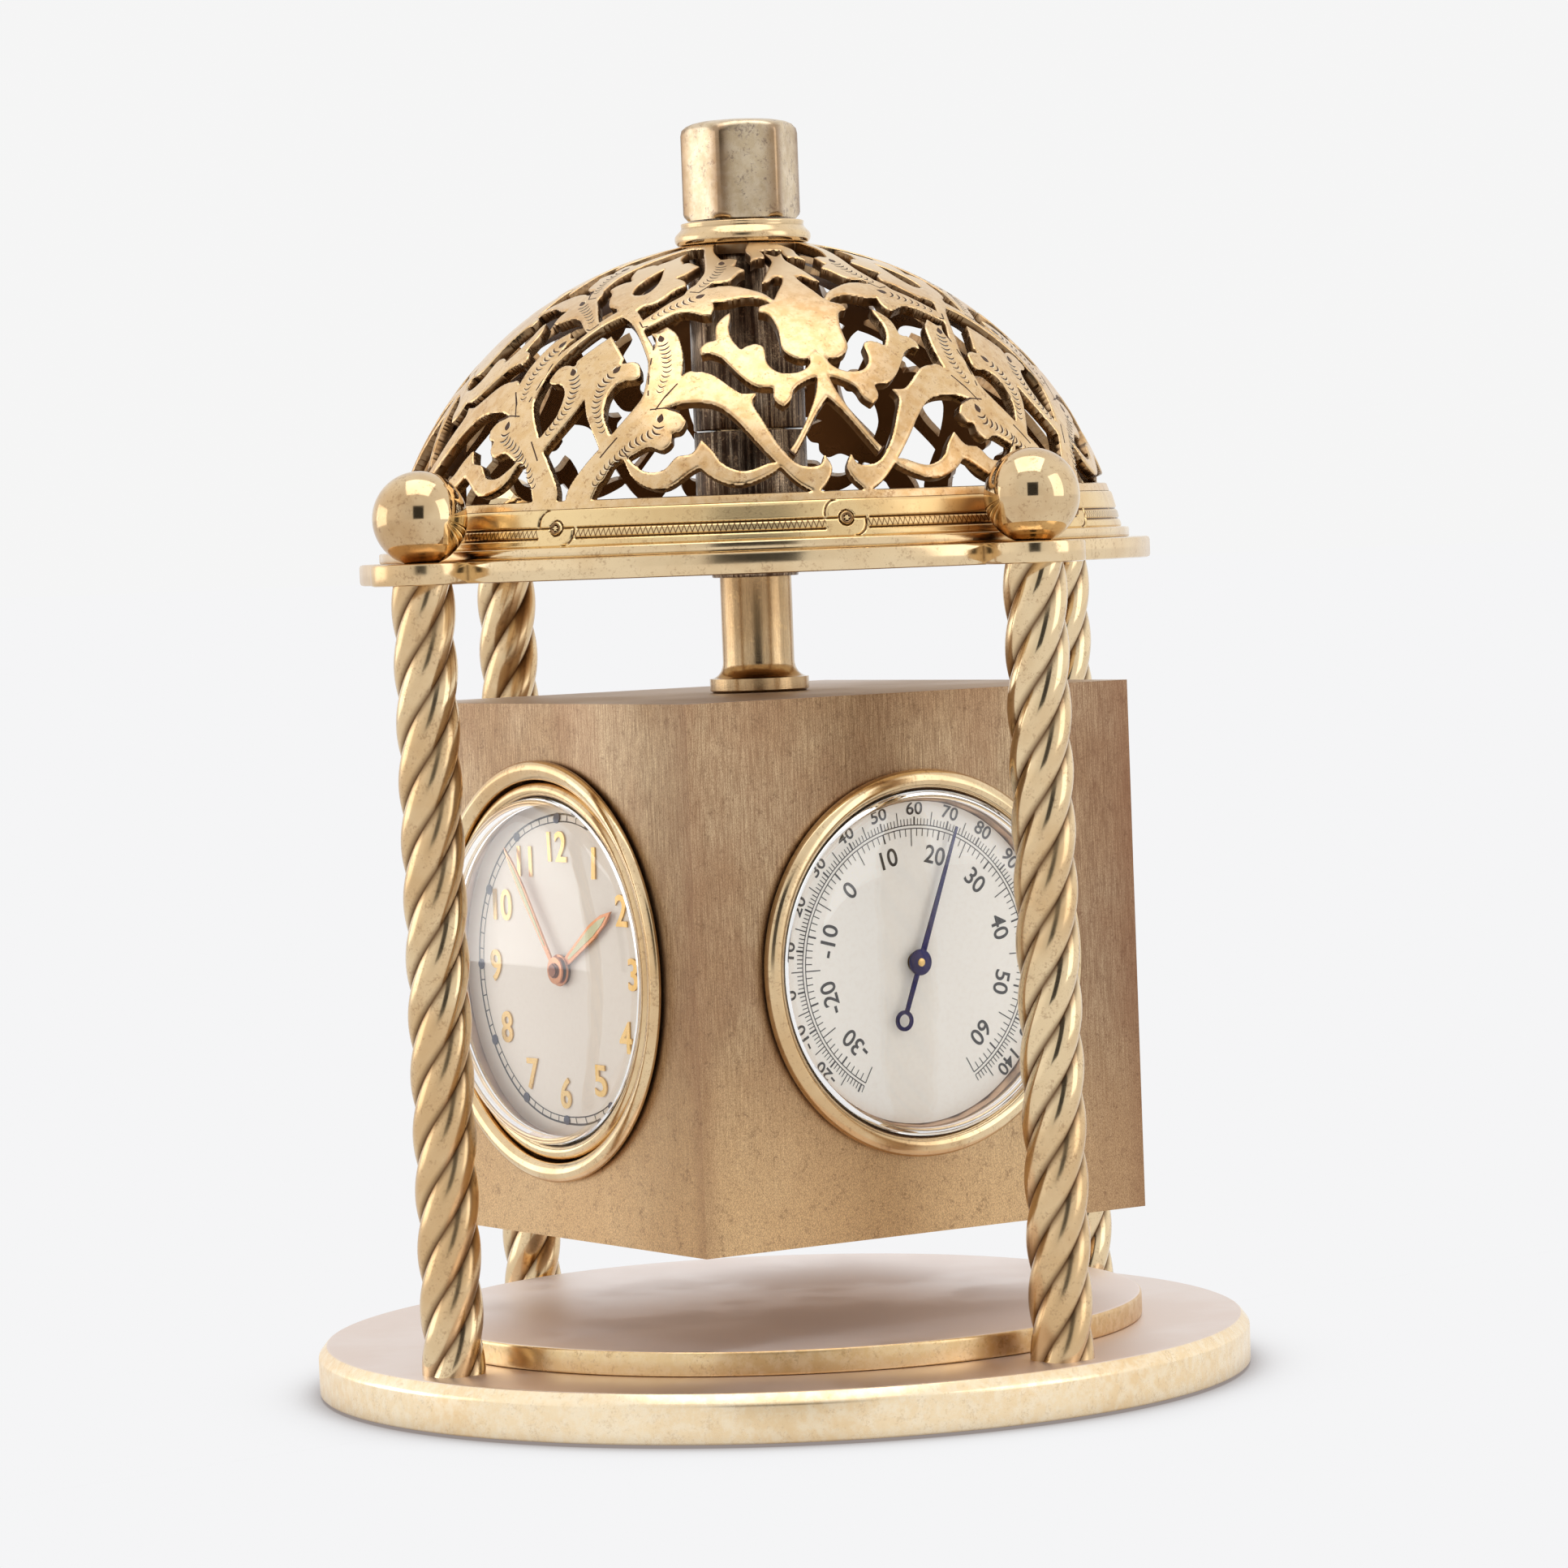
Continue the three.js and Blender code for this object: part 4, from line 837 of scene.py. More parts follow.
def sideFaces(rows, around):
    # the faces between closed rows of points that follow one another
    faces = []
    for row in range(rows - 1):
        for i in range(around):
            k = (i + 1) % around
            a, b = row * around, (row + 1) * around
            faces.append([a + i, a + k, b + k, b + i])
    return faces


def cornersOf(size, corners):
    # each corner is a side and a level of the measured node, and how far the corner is from them
    return [(size[side] + across, size[level] + up) for side, across, level, up in corners]


def faceMatrix(jointName):
    joint = joints[jointName]
    out = -Vector(joint["axis"])
    up = Vector((0, 0, 1))
    right = up.cross(out)
    return Matrix(
        (
            (right.x, up.x, out.x, joint["pos_m"][0]),
            (right.y, up.y, out.y, joint["pos_m"][1]),
            (right.z, up.z, out.z, joint["pos_m"][2]),
            (0, 0, 0, 1),
        )
    )


def clockwise(degrees, radius=0.0):
    angle = math.radians(degrees)
    return Matrix.Translation((radius * math.sin(angle), radius * math.cos(angle), 0)) @ Matrix.Rotation(
        -angle, 4, "Z"
    )


# Base

base = {"feltGap": 0.3, "edgeHigh": 1.4, "edgeIn": 1.1, "round": 0.3, "discRound": 0.5, "sides": 180}


def buildBase():
    foot, top = heights("base_plate")
    discTop = heights("base_disc")[1]
    outer = reach("base_plate")
    felt = reach("base_felt") + base["feltGap"]
    feltTop = heights("base_felt")[1]
    plateProfile = [
        (0, feltTop),
        (felt, feltTop),
        (felt, foot),
        (outer, foot),
        (outer, top - base["edgeHigh"]),
        (outer - base["edgeIn"], top),
        (0, top),
    ]
    look = {"slot": "golden_brass", "body": "stand"}
    makePiece(
        "basePlate",
        *turned(rounded(plateProfile, base["round"], closed=False), base["sides"]),
        {**look, "finish": "plate", "stands": ["base_plate"]},
    )
    discReach = reach("base_disc")
    discProfile = [(0, top), (discReach, top), (discReach, discTop), (0, discTop)]
    makePiece(
        "baseDisc",
        *turned(rounded(discProfile, base["discRound"], 4, closed=False), base["sides"]),
        {**look, "finish": "disc", "stands": ["base_disc"]},
    )


# Rope-twist columns and their balls


def buildColumns():
    around, climbs = rope["around"], rope["climbs"]
    ballRadius, ballSeat = balls["radius"], balls["seat"]
    for side, degrees in columnTurns.items():
        low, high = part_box("ball_finial_" + side)
        x, y = (low.x + high.x) / 2 / mm, (low.y + high.y) / 2 / mm
        foot, top = heights("column_" + side)
        turn = math.radians(degrees)
        points = []
        for step in range(climbs + 1):
            height = foot + (top - foot) * step / climbs
            twist = full * (height - foot) / rope["pitch"]
            for i in range(around):
                angle = full * i / around
                radius = ropeReach((angle % (full / 4)) - full / 8)
                points.append(
                    (
                        x + radius * math.cos(angle + twist + turn),
                        y + radius * math.sin(angle + twist + turn),
                        height,
                    )
                )
        faces = sideFaces(climbs + 1, around)
        faces.append(list(range(around))[::-1])
        faces.append([climbs * around + i for i in range(around)])
        makePiece(
            "rope_" + side,
            points,
            faces,
            {
                "finish": "rope",
                "slot": "polished_brass",
                "body": "stand",
                "stands": ["column_" + side],
                "sharp": 50,
            },
        )
        seat = heights("top_plate")[1]
        centre = seat + math.sqrt(ballRadius**2 - ballSeat**2)
        start = -math.acos(ballSeat / ballRadius)
        profile = [(0, seat), (ballSeat, seat)]
        profile += arcPoints((0, centre), ballRadius, start, math.pi / 2, 40)[1:-1]
        profile.append((0, centre + ballRadius))
        makePiece(
            "ball_" + side,
            *turned(profile, 72),
            {
                "finish": "ball",
                "slot": "polished_brass",
                "body": "stand",
                "stands": ["ball_finial_" + side],
                "matrix": Matrix.Translation((x * mm, y * mm, 0)),
            },
        )


# Top plate with its four ears

topPlate = {"reach": 52.8, "earReach": 6.6, "edge": 0.45, "edgeMiddle": 0.12}


def eared(inset, columnCircle, plateRadius, earRadius):
    radius = plateRadius - inset
    ear = earRadius - inset
    along = (radius**2 + columnCircle**2 - ear**2) / (2 * columnCircle)
    half = math.acos(along / radius)
    side = math.atan2(radius * math.sin(half), along - columnCircle)
    outline = []
    for quarter in range(4):
        angle = full * (quarter + 0.5) / 4
        centre = (columnCircle * math.cos(angle), columnCircle * math.sin(angle))
        outline += arcPoints(centre, ear, angle - side, angle + side, 24)[:-1]
        outline += arcPoints((0, 0), radius, angle + half, angle + full / 4 - half, 40)[:-1]
    return outline


def buildTopPlate():
    foot, top = heights("top_plate")
    low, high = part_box("ball_finial_back_right")
    columnCircle = math.hypot((low.x + high.x) / 2, (low.y + high.y) / 2) / mm
    edge, middle = topPlate["edge"], topPlate["edgeMiddle"]
    levels = [(edge, foot), (middle, foot + middle), (0, foot + edge)]
    levels += [(0, top - edge), (middle, top - middle), (edge, top)]
    points = []
    for inset, height in levels:
        outline = eared(inset, columnCircle, topPlate["reach"], topPlate["earReach"])
        points += [(x, y, height) for x, y in outline]
    count = len(points) // len(levels)
    faces = [list(range(count))[::-1], [len(points) - count + i for i in range(count)]]
    faces += sideFaces(len(levels), count)
    makePiece(
        "topPlate",
        points,
        faces,
        {"finish": "polished", "slot": "golden_brass", "body": "stand", "stands": ["top_plate"], "sharp": 30},
    )


# Dome ring: the step, and on it the belt of lapped lengths with a rivet at each lap


def lapRelief(along, height):
    # how far the belt stands proud, or is cut in, at a place across a lap
    curve = belt["curve"]
    upper = Vector((along + belt["upperCurve"], height - (beltTop - curve - belt["curveGap"])))
    lower = Vector((along + belt["lowerCurve"], height - (beltStep + curve + belt["curveGap"])))
    near = []
    if along < belt["lapLeft"] or along > belt["stripAgain"]:
        near += [abs(height - stripLow), abs(height - stripHigh)]
    if belt["lapLeft"] < along < belt["lapRight"]:
        near.append(abs(height - stripHigh))
    if upper.x < 0 and upper.y > 0:
        near.append(abs(upper.length - curve))
    if lower.x > 0 and lower.y < 0:
        near.append(abs(lower.length - curve))
    if stripHigh < height and upper.y < 0:
        near.append(abs(along - belt["lapLeft"]))
    if height < stripHigh and lower.y > 0:
        near.append(abs(along - belt["lapRight"]))
    depth = belt["groove"] * max(0.0, 1 - min(near + [9]) / belt["grooveHalf"])
    away = math.hypot(along, height - stripHigh)
    if away < belt["rivetEye"]:
        return belt["rivetRise"]
    if away < belt["rivetEdge"]:
        ring = belt["groove"] * max(0.0, 1 - ((away - belt["rivetRing"]) / belt["rivetRingHalf"]) ** 2)
        return ring or belt["rivetFloor"]
    return -depth


def buildDomeRing():
    inner = measure("dome_ring", upright)["inner"]
    outer = beltReach
    look = {"slot": "golden_brass", "body": "stand"}
    stepProfile = [
        (inner, beltFoot),
        (outer, beltFoot),
        (outer, beltStep - belt["stepTop"]),
        (outer - belt["stepIn"], beltStep),
        (inner, beltStep),
    ]
    step = turned(rounded(stepProfile, belt["stepRound"]), 200)
    makePiece("ringStep", *step, {**look, "finish": "polished"})
    profile = [(beltStep + up, outer - back) for up, back in belt["lowProfile"]]
    profile += [(beltTop - down, outer - back) for down, back in belt["highProfile"]]
    known = np.array(profile)
    fine = belt["row"]
    levels = np.linspace(beltStep, beltTop, int((beltTop - beltStep) / fine))
    each = belt["each"]
    count = belt["laps"] * each
    lapEvery = full / belt["laps"]
    start = beltTurn - lapEvery / 2
    points = []
    for level in levels:
        plainReach = float(np.interp(level, known[:, 0], known[:, 1]))
        plain = level < beltStep + belt["plain"] or level > beltTop - belt["plain"]
        places = [(i / each - 0.5) * lapEvery * plainReach for i in range(each)]
        reliefs = [0.0 if plain else lapRelief(along, level) for along in places]
        for i in range(count):
            angle = start + full * i / count
            radius = min(plainReach + reliefs[i % each], outer)
            points.append((radius * math.cos(angle), radius * math.sin(angle), float(level)))
    faces = sideFaces(len(levels), count)
    within = len(points)
    for level in (beltTop, beltStep):
        for i in range(count):
            angle = start + full * i / count
            points.append((inner * math.cos(angle), inner * math.sin(angle), level))
    outerTop = (len(levels) - 1) * count
    for i in range(count):
        k = (i + 1) % count
        faces.append([outerTop + i, outerTop + k, within + k, within + i])
        faces.append([within + i, within + k, within + count + k, within + count + i])
        faces.append([within + count + i, within + count + k, k, i])
    makePiece("ringBand", points, faces, {**look, "finish": "band", "stands": ["dome_ring"], "sharp": 60})


# Pierced dome. The metal's outlines are in degrees, round from the double leaf and down from the top.

leafOutlines = {
    "side": [
        [
            (1, 74), (1, 70), (3.5, 66), (6, 63), (7.5, 61), (10.5, 57), (11.7, 54.5), (11.5, 50), (10.5, 47.5),
            (7, 43), (3, 39.5), (-2, 37.3), (-2, 36), (2.5, 36.5), (6.5, 39.5), (8, 42), (10.5, 44.5), (13, 48),
            (15, 54), (15, 58), (13, 61), (10, 64.5), (7, 68), (4.5, 74),
        ],
        [
            (9.5, 42.3), (11.5, 42.4), (13, 41), (16, 43), (18, 47), (18.5, 50.5), (18, 53), (16, 55.2),
            (15, 57.5), (12.5, 55), (12, 50), (11.5, 47), (11.3, 44),
        ],
        [
            (16, 55.2), (19, 51), (21.5, 50.8), (24.5, 51.5), (28, 54), (30, 55.2), (32.5, 55.2), (31.7, 56.9),
            (33.3, 60), (35.5, 64), (38, 67), (40, 67.8), (42, 67.5), (42.8, 65.8), (43.8, 68), (43, 70),
            (41, 72), (38, 70.2), (35, 67), (32, 63.5), (29, 60), (26, 57.5), (23, 56.6), (19, 56.6),
            (16.5, 57.3), (13.5, 57.5), (14, 55),
        ],
        [
            (16.5, 57.3), (19, 58.2), (20.3, 59.7), (19.5, 61.2), (18, 61.6), (18, 63.2), (16.5, 64.3),
            (14, 63.7), (11, 65.2), (8.5, 66), (7, 68.8), (5, 69.8), (4.7, 74), (3, 74), (3.5, 68), (8, 62),
            (12, 58), (14, 56),
        ],
        [
            (10, 65.3), (12, 68.5), (15, 70.2), (18, 70.3), (21.5, 68), (22.8, 67.3), (25, 69), (28, 70.2),
            (31, 70), (34.8, 68.3), (36, 67), (34, 67), (31, 68), (29, 68), (26.5, 66.8), (25, 64.8),
            (23, 62.8), (21.5, 65), (19, 65.5), (17, 67.5), (14, 67.6), (11, 65.5), (9.5, 64),
        ],
        [
            (20.7, 31.2), (24, 30.8), (28, 31), (32, 32), (36, 33.5), (38.5, 35.5), (37.3, 36), (35, 35),
            (31, 34.5), (26, 35.3), (22.7, 35.3), (23.3, 37), (22.8, 38.6), (21, 38.7), (18.5, 38), (16, 37.7),
            (13, 38.4), (8.5, 41), (6.5, 41.2), (5.5, 39.8), (6, 39.2), (8, 37.5), (11, 35), (14, 33),
            (14.5, 31.5), (17, 29.5),
        ],
        [
            (-3, 8), (7, 8), (7, 10.5), (11, 13), (16, 17), (20, 19.8), (22, 21), (25, 20.7), (28.3, 21.2),
            (27.8, 23.5), (26.7, 24), (29, 24.5), (31.5, 25.7), (29.5, 26.5), (28, 28), (26.5, 29.3),
            (24, 29.8), (21.5, 29.9), (20.5, 31), (18, 33), (15.5, 32.5), (16, 31), (16.4, 29.5), (17.3, 26.5),
            (16.4, 24), (14.3, 21), (11.3, 18), (7.5, 15), (3, 13.5), (-3, 14.5),
        ],
        [
            (43.6, 48.5), (43, 50), (41.5, 51.2), (39, 51.8), (36.5, 51.3), (34.8, 49.5), (34.5, 46.5),
            (33, 45.7), (31, 46), (29.8, 46.7), (28, 44.5), (27.2, 42), (27.5, 39.5), (27.3, 38.2),
            (25.5, 39.5), (24.2, 41.5), (24.5, 44.5), (22.5, 45), (21.3, 46.2), (21.7, 47.5), (23.5, 47.3),
            (26, 48.3), (28, 50.3), (30, 52.3), (32.5, 54), (35.5, 54.3), (35.5, 56.5), (37, 57.8),
            (38.5, 56.5), (39.2, 54.8), (41, 53.5), (44, 52.5), (47, 52.7), (47, 47),
        ],
        [
            (44, 52), (43, 55.5), (41, 59.5), (38.5, 63.5), (37.2, 65.2), (38, 66), (40, 63), (43, 58.5),
            (47, 54), (47, 51.5),
        ],
    ],
    "leafAxis": [
        [
            (0, 16.5), (2.5, 19.8), (5.7, 21.5), (6, 22), (9, 21.8), (12.7, 23), (14, 23.4), (12, 25.5),
            (10.8, 26.5), (8.4, 27.7), (10.3, 28), (12.7, 29), (13.5, 30.3), (10.8, 31.5), (9, 33.5),
            (6.8, 35.2), (4.2, 35.7), (2.5, 37), (0, 37.5),
        ],
        [
            (0, 42.5), (3, 45), (5.7, 47.5), (5.4, 48.5), (8, 48.3), (9.5, 49), (10.3, 51), (9.7, 51.7),
            (7, 52), (5.5, 53), (4.7, 55), (5, 58), (6.5, 60.5), (7.2, 61.5), (8.5, 62), (6, 65),
            (5.2, 63.3), (4, 61.5), (1.5, 58), (0, 55),
        ],
    ],
    "palmetteAxis": [
        [
            (45, 47.6), (43, 49), (40.5, 48.8), (38.2, 47), (38, 44), (37.6, 41.5), (36.3, 39), (34, 38.3),
            (34.5, 37), (37.8, 35.8), (40, 33), (42, 30.5), (42.8, 28.7), (40.5, 28.5), (38.5, 29.8),
            (36, 30.5), (38, 27.5), (40, 25), (42, 22.5), (41.8, 20.5), (40.8, 18.5), (43, 19.5), (45, 20.3),
        ],
        [
            (45, 16.5), (39, 17), (40.3, 18.8), (40, 20.8), (36, 21.2), (33.5, 22.5), (34, 19.5), (32, 16),
            (36, 8), (45, 8),
        ],
    ],
}
heartHole = [(0, 24), (2.5, 27), (3.4, 29.5), (2.5, 31.8), (0, 32.4)]
stepLines = [
    [(8.5, 62), (7.2, 63.6), (6, 65.2)],
    [(11, 65.4), (9.6, 63.9)],
    [(37, 65), (38.3, 66.2)],
    [(11.4, 45), (11.8, 48.5), (12.2, 52), (12.8, 55)],
    [(18, 53), (16, 55.3), (14.6, 57.6)],
    [(19, 58.1), (16.5, 57.3), (13.6, 57.5)],
    [(21.6, 30), (20.5, 31), (18.3, 32.7), (15.6, 32.4)],
    [(8.3, 40.8), (7, 41), (5.6, 39.7)],
]
# Each leaf's graver marks run from an eye at its head along a spine
graverSpines = [
    [(12.4, 43.6), (14.6, 47), (15.6, 50.5), (14.8, 54.5)],
    [(15.8, 58.8), (15.4, 61.2), (11.5, 63.2), (7.6, 66.6), (5.6, 69.5)],
    [(5.2, 49.6), (2.9, 52.5), (2.9, 56.5), (5.6, 61)],
    [(19.5, 33.6), (16, 35.2), (12.5, 36.6), (8.4, 39.1)],
    [(22.4, 22.6), (22.8, 25.3), (21.2, 28.2), (18.2, 31)],
]


def smoothLoop(points, steps=4):
    count = len(points)
    loop = [Vector(p) for p in points]
    corner = []
    for i in range(count):
        a, b = loop[i] - loop[i - 1], loop[(i + 1) % count] - loop[i]
        corner.append(a.length < 1e-6 or b.length < 1e-6 or a.angle(b) > math.radians(62))
    out = []
    for i in range(count):
        p0, p1, p2, p3 = loop[i - 1], loop[i], loop[(i + 1) % count], loop[(i + 2) % count]
        m1 = (p2 - p1) if corner[i] else (p2 - p0) / 2
        m2 = (p2 - p1) if corner[(i + 1) % count] else (p3 - p1) / 2
        limit = 1.2 * (p2 - p1).length
        m1 = m1.normalized() * min(m1.length, limit)
        m2 = m2.normalized() * min(m2.length, limit)
        for k in range(steps):
            t = k / steps
            out.append(
                p1 * (2 * t**3 - 3 * t**2 + 1)
                + m1 * (t**3 - 2 * t**2 + t)
                + p2 * (-2 * t**3 + 3 * t**2)
                + m2 * (t**3 - t**2)
            )
    return np.radians(np.array([(p.x, p.y) for p in out]))


def signedReach(grid, loop):
    # grid: points as angles; the result is millimetres, positive inside the loop
    inside = np.zeros(len(grid), bool)
    best = np.full(len(grid), 1e9)
    x, y = grid[:, 0], grid[:, 1]
    wide = domeRadius * np.sin(y)
    for i in range(len(loop)):
        ax, ay = loop[i]
        bx, by = loop[(i + 1) % len(loop)]
        crosses = ((ay > y) != (by > y)) & (x < (bx - ax) * (y - ay) / ((by - ay) or 1e-12) + ax)
        inside ^= crosses
        dx, dy = (bx - ax) * wide, (by - ay) * domeRadius
        px, py = (x - ax) * wide, (y - ay) * domeRadius
        t = np.clip((px * dx + py * dy) / np.maximum(dx * dx + dy * dy, 1e-12), 0, 1)
        best = np.minimum(best, np.hypot(px - t * dx, py - t * dy))
    return np.where(inside, best, -best)


def contourCells(values, rows, columns):
    points = []
    index = {}

    def place(key, make):
        if key not in index:
            index[key] = len(points)
            points.append(make())
        return index[key]

    def corner(i, j):
        return place((i, j), lambda: (columns[i], rows[j], values[j, i]))

    def crossing(i, j, k, m):
        if (k, m) < (i, j):
            i, j, k, m = k, m, i, j

        def make():
            a, b = values[j, i], values[m, k]
            t = min(max(a / (a - b), 0.04), 0.96)
            return (columns[i] + (columns[k] - columns[i]) * t, rows[j] + (rows[m] - rows[j]) * t, 0.0)

        return place((i, j, k, m), make)

    faces = []
    rims = []
    for j in range(len(rows) - 1):
        for i in range(len(columns) - 1):
            square = [(i, j), (i + 1, j), (i + 1, j + 1), (i, j + 1)]
            signs = [values[b, a] > 0 for a, b in square]
            if not any(signs):
                continue
            if all(signs):
                faces.append([corner(*c) for c in square])
                continue
            face = []
            marks = []
            for k in range(4):
                here, there = square[k], square[(k + 1) % 4]
                if signs[k]:
                    face.append(corner(*here))
                if signs[k] != signs[(k + 1) % 4]:
                    face.append(crossing(*here, *there))
                    marks.append((face[-1], signs[k]))
            faces.append(face)
            for k in range(len(marks)):
                if marks[k][1]:
                    rims.append((marks[k][0], marks[(k + 1) % len(marks)][0]))
    return points, faces, rims


def domePlace(across, polar, radius, quarter, mirrored):
    half = domeSpan / 2
    azimuth = beltTurn + quarter * domeSpan + (half - across if mirrored else across - half)
    out = radius * math.sin(polar)
    height = max(domeCentre + radius * math.cos(polar), domeFoot)
    return (out * math.cos(azimuth), out * math.sin(azimuth), height)


def domeReach(columns, rows):
    grid = np.array([(x, y) for y in rows for x in columns])
    metalReach = np.maximum((grid[:, 1] - rimAngle) * domeRadius, (crownAngle - grid[:, 1]) * domeRadius)
    loops = [smoothLoop(outline) for outline in leafOutlines["side"]]
    for axis, key in ((0, "leafAxis"), (45, "palmetteAxis")):
        for outline in leafOutlines[key]:
            loops.append(smoothLoop(outline + [(2 * axis - a, b) for a, b in outline[1:-1][::-1]]))
    for loop in loops:
        metalReach = np.maximum(metalReach, signedReach(grid, loop))
    hole = smoothLoop(heartHole + [(-a, b) for a, b in heartHole[1:-1][::-1]])
    metalReach = np.minimum(metalReach, -signedReach(grid, hole))
    values = metalReach.reshape(len(rows), len(columns))
    values[np.abs(values) < 0.01] = 0.01
    return values


def buildDome():
    fine = dome["cell"]
    columns = np.linspace(0, domeSpan / 2, int(domeSpan / 2 * domeRadius / fine))
    rows = np.linspace(eyeAngle, footAngle, int((footAngle - eyeAngle) * domeRadius / fine))
    cells, faces, rims = contourCells(domeReach(columns, rows), rows, columns)
    count = len(cells)
    edge = dome["edge"]
    walls = [[a, b, count + b, count + a][::-1] for a, b in rims]
    for limit in (rows[0], rows[-1]):
        line = sorted((i for i in range(count) if abs(cells[i][1] - limit) < 1e-9), key=lambda i: cells[i][0])
        walls += [[a, b, count + b, count + a] for a, b in zip(line, line[1:])]
    sheet = Shape()
    for quarter in range(4):
        for mirrored in (False, True):
            points = []
            for under in (False, True):
                for across, polar, metalReach in cells:
                    short = max(edge - metalReach, 0)
                    drop = edge - math.sqrt(max(edge**2 - short**2, 0))
                    radius = domeRadius - (dome["sheet"] if under else dome["edgeDrop"] * drop)
                    points.append(domePlace(across, polar, radius, quarter, mirrored))
            both = faces + [[count + i for i in face][::-1] for face in faces] + walls
            sheet.add(points, [face[::-1] for face in both] if mirrored else both)
    look = {"finish": "dome", "slot": "golden_brass", "body": "stand", "stands": ["pierced_dome"]}
    makePiece("domeSheet", sheet.points, sheet.faces, {**look, "weld": 0.002, "sharp": 40})


def onDome(shape, outlines, lift):
    for outline in outlines:
        for quarter in range(4):
            for mirrored in (False, True):
                half = len(outline) // 2
                points = [domePlace(a, b, domeRadius + lift, quarter, mirrored) for a, b in outline]
                strips = [[i, i + 1, len(outline) - 2 - i, len(outline) - 1 - i] for i in range(half - 1)]
                shape.add(points, strips)


def strip(spine, widths):
    # a band along a line on the dome, as a loop of angles: up one side and back down the other
    left, right = [], []
    for i, here in enumerate(spine):
        before, after = spine[max(i - 1, 0)], spine[min(i + 1, len(spine) - 1)]
        wide = domeRadius * math.sin(here[1])
        along = Vector(((after[0] - before[0]) * wide, (after[1] - before[1]) * domeRadius)).normalized()
        for side, sense in ((left, 0.5), (right, -0.5)):
            reachOut = sense * widths[i]
            side.append((here[0] - along.y * reachOut / wide, here[1] + along.x * reachOut / domeRadius))
    return left + right[::-1]


def alongSpine(spine, share):
    lengths = [0.0]
    for a, b in zip(spine, spine[1:]):
        lengths.append(lengths[-1] + math.hypot((b[0] - a[0]) * math.sin(a[1]), b[1] - a[1]))
    return [float(np.interp(share * lengths[-1], lengths, [p[c] for p in spine])) for c in (0, 1)], lengths[-1]


graver = {
    "line": 0.2,
    "spacing": 0.82,
    "size": 0.85,
    "shrink": 0.4,
    "bow": 0.42,
    "fade": 0.5,
    "dark": {"name": "graverShadeMarks", "finish": "markShade", "lift": 0.015, "shift": 0.0, "width": 0.28},
    "glint": {"name": "graverPaintedGlints", "finish": "glint", "lift": 0.02, "shift": 0.2, "width": 0.1},
    "eyeStep": 0.2,
    "eye": [0.03, 0.3, 0.55, 0.75, 0.85, 0.8, 0.55, 0.05],
    "eyeGlint": [0.02, 0.06, 0.1, 0.12, 0.1, 0.06, 0.02],
    "arc": (-1, -0.75, -0.4, 0, 0.4, 0.75, 1),
    "arcWidths": (0.1, 0.6, 0.95, 1, 0.95, 0.6, 0.1),
}


def spinePoints(line):
    return [tuple(math.radians(v) for v in p) for p in line]


def spinePlace(spine, share):
    # a function from millimetres across and along the spine to angles on the dome
    here = alongSpine(spine, share)[0]
    ahead = alongSpine(spine, min(share + 0.05, 1))[0]
    behind = alongSpine(spine, max(share - 0.05, 0))[0]
    wide = domeRadius * math.sin(here[1])
    along = Vector(((ahead[0] - behind[0]) * wide, (ahead[1] - behind[1]) * domeRadius)).normalized()
    across = Vector((-along.y, along.x))

    def at(side, forward):
        spot = across * side + along * forward
        return (here[0] + spot.x / wide, here[1] + spot.y / domeRadius)

    return at


def buildGraverMarks():
    # the cuts are not dented into the sheet: dark strips are painted shade in the grooves and along the leaves'
    # steps, and light strips beside them are painted glints of the lit edges
    marks = {"dark": [], "glint": []}
    for line in stepLines:
        spine = spinePoints(line)
        marks["dark"].append(strip(spine, [graver["line"]] * len(spine)))
    for row in graverSpines:
        spine = spinePoints(row)
        length = alongSpine(spine, 1)[1] * domeRadius
        count = int(length / graver["spacing"])
        for number in range(count):
            share = (number + 0.5) / count
            at = spinePlace(spine, share)
            if number == 0:
                step = graver["eyeStep"]
                eye = [at(0, step * k - 0.9) for k in range(len(graver["eye"]))]
                shine = [at(0.5, step * k - 0.8) for k in range(len(graver["eyeGlint"]))]
                marks["dark"].append(strip(eye, graver["eye"]))
                marks["glint"].append(strip(shine, graver["eyeGlint"]))
                continue
            size = graver["size"] * (1 - graver["shrink"] * share)
            fade = 1 - graver["fade"] * share
            for kind in ("dark", "glint"):
                shift, width = graver[kind]["shift"], graver[kind]["width"]
                arc = [at(size * t, shift + graver["bow"] * (1 - t * t)) for t in graver["arc"]]
                marks[kind].append(strip(arc, [width * fade * k for k in graver["arcWidths"]]))
    for kind in ("dark", "glint"):
        shape = Shape()
        onDome(shape, marks[kind], graver[kind]["lift"])
        look = {"finish": graver[kind]["finish"], "slot": "golden_brass", "body": "stand", "orient": False}
        makePiece(graver[kind]["name"], shape.points, shape.faces, look)


# Collar, sleeves, spindle and knob

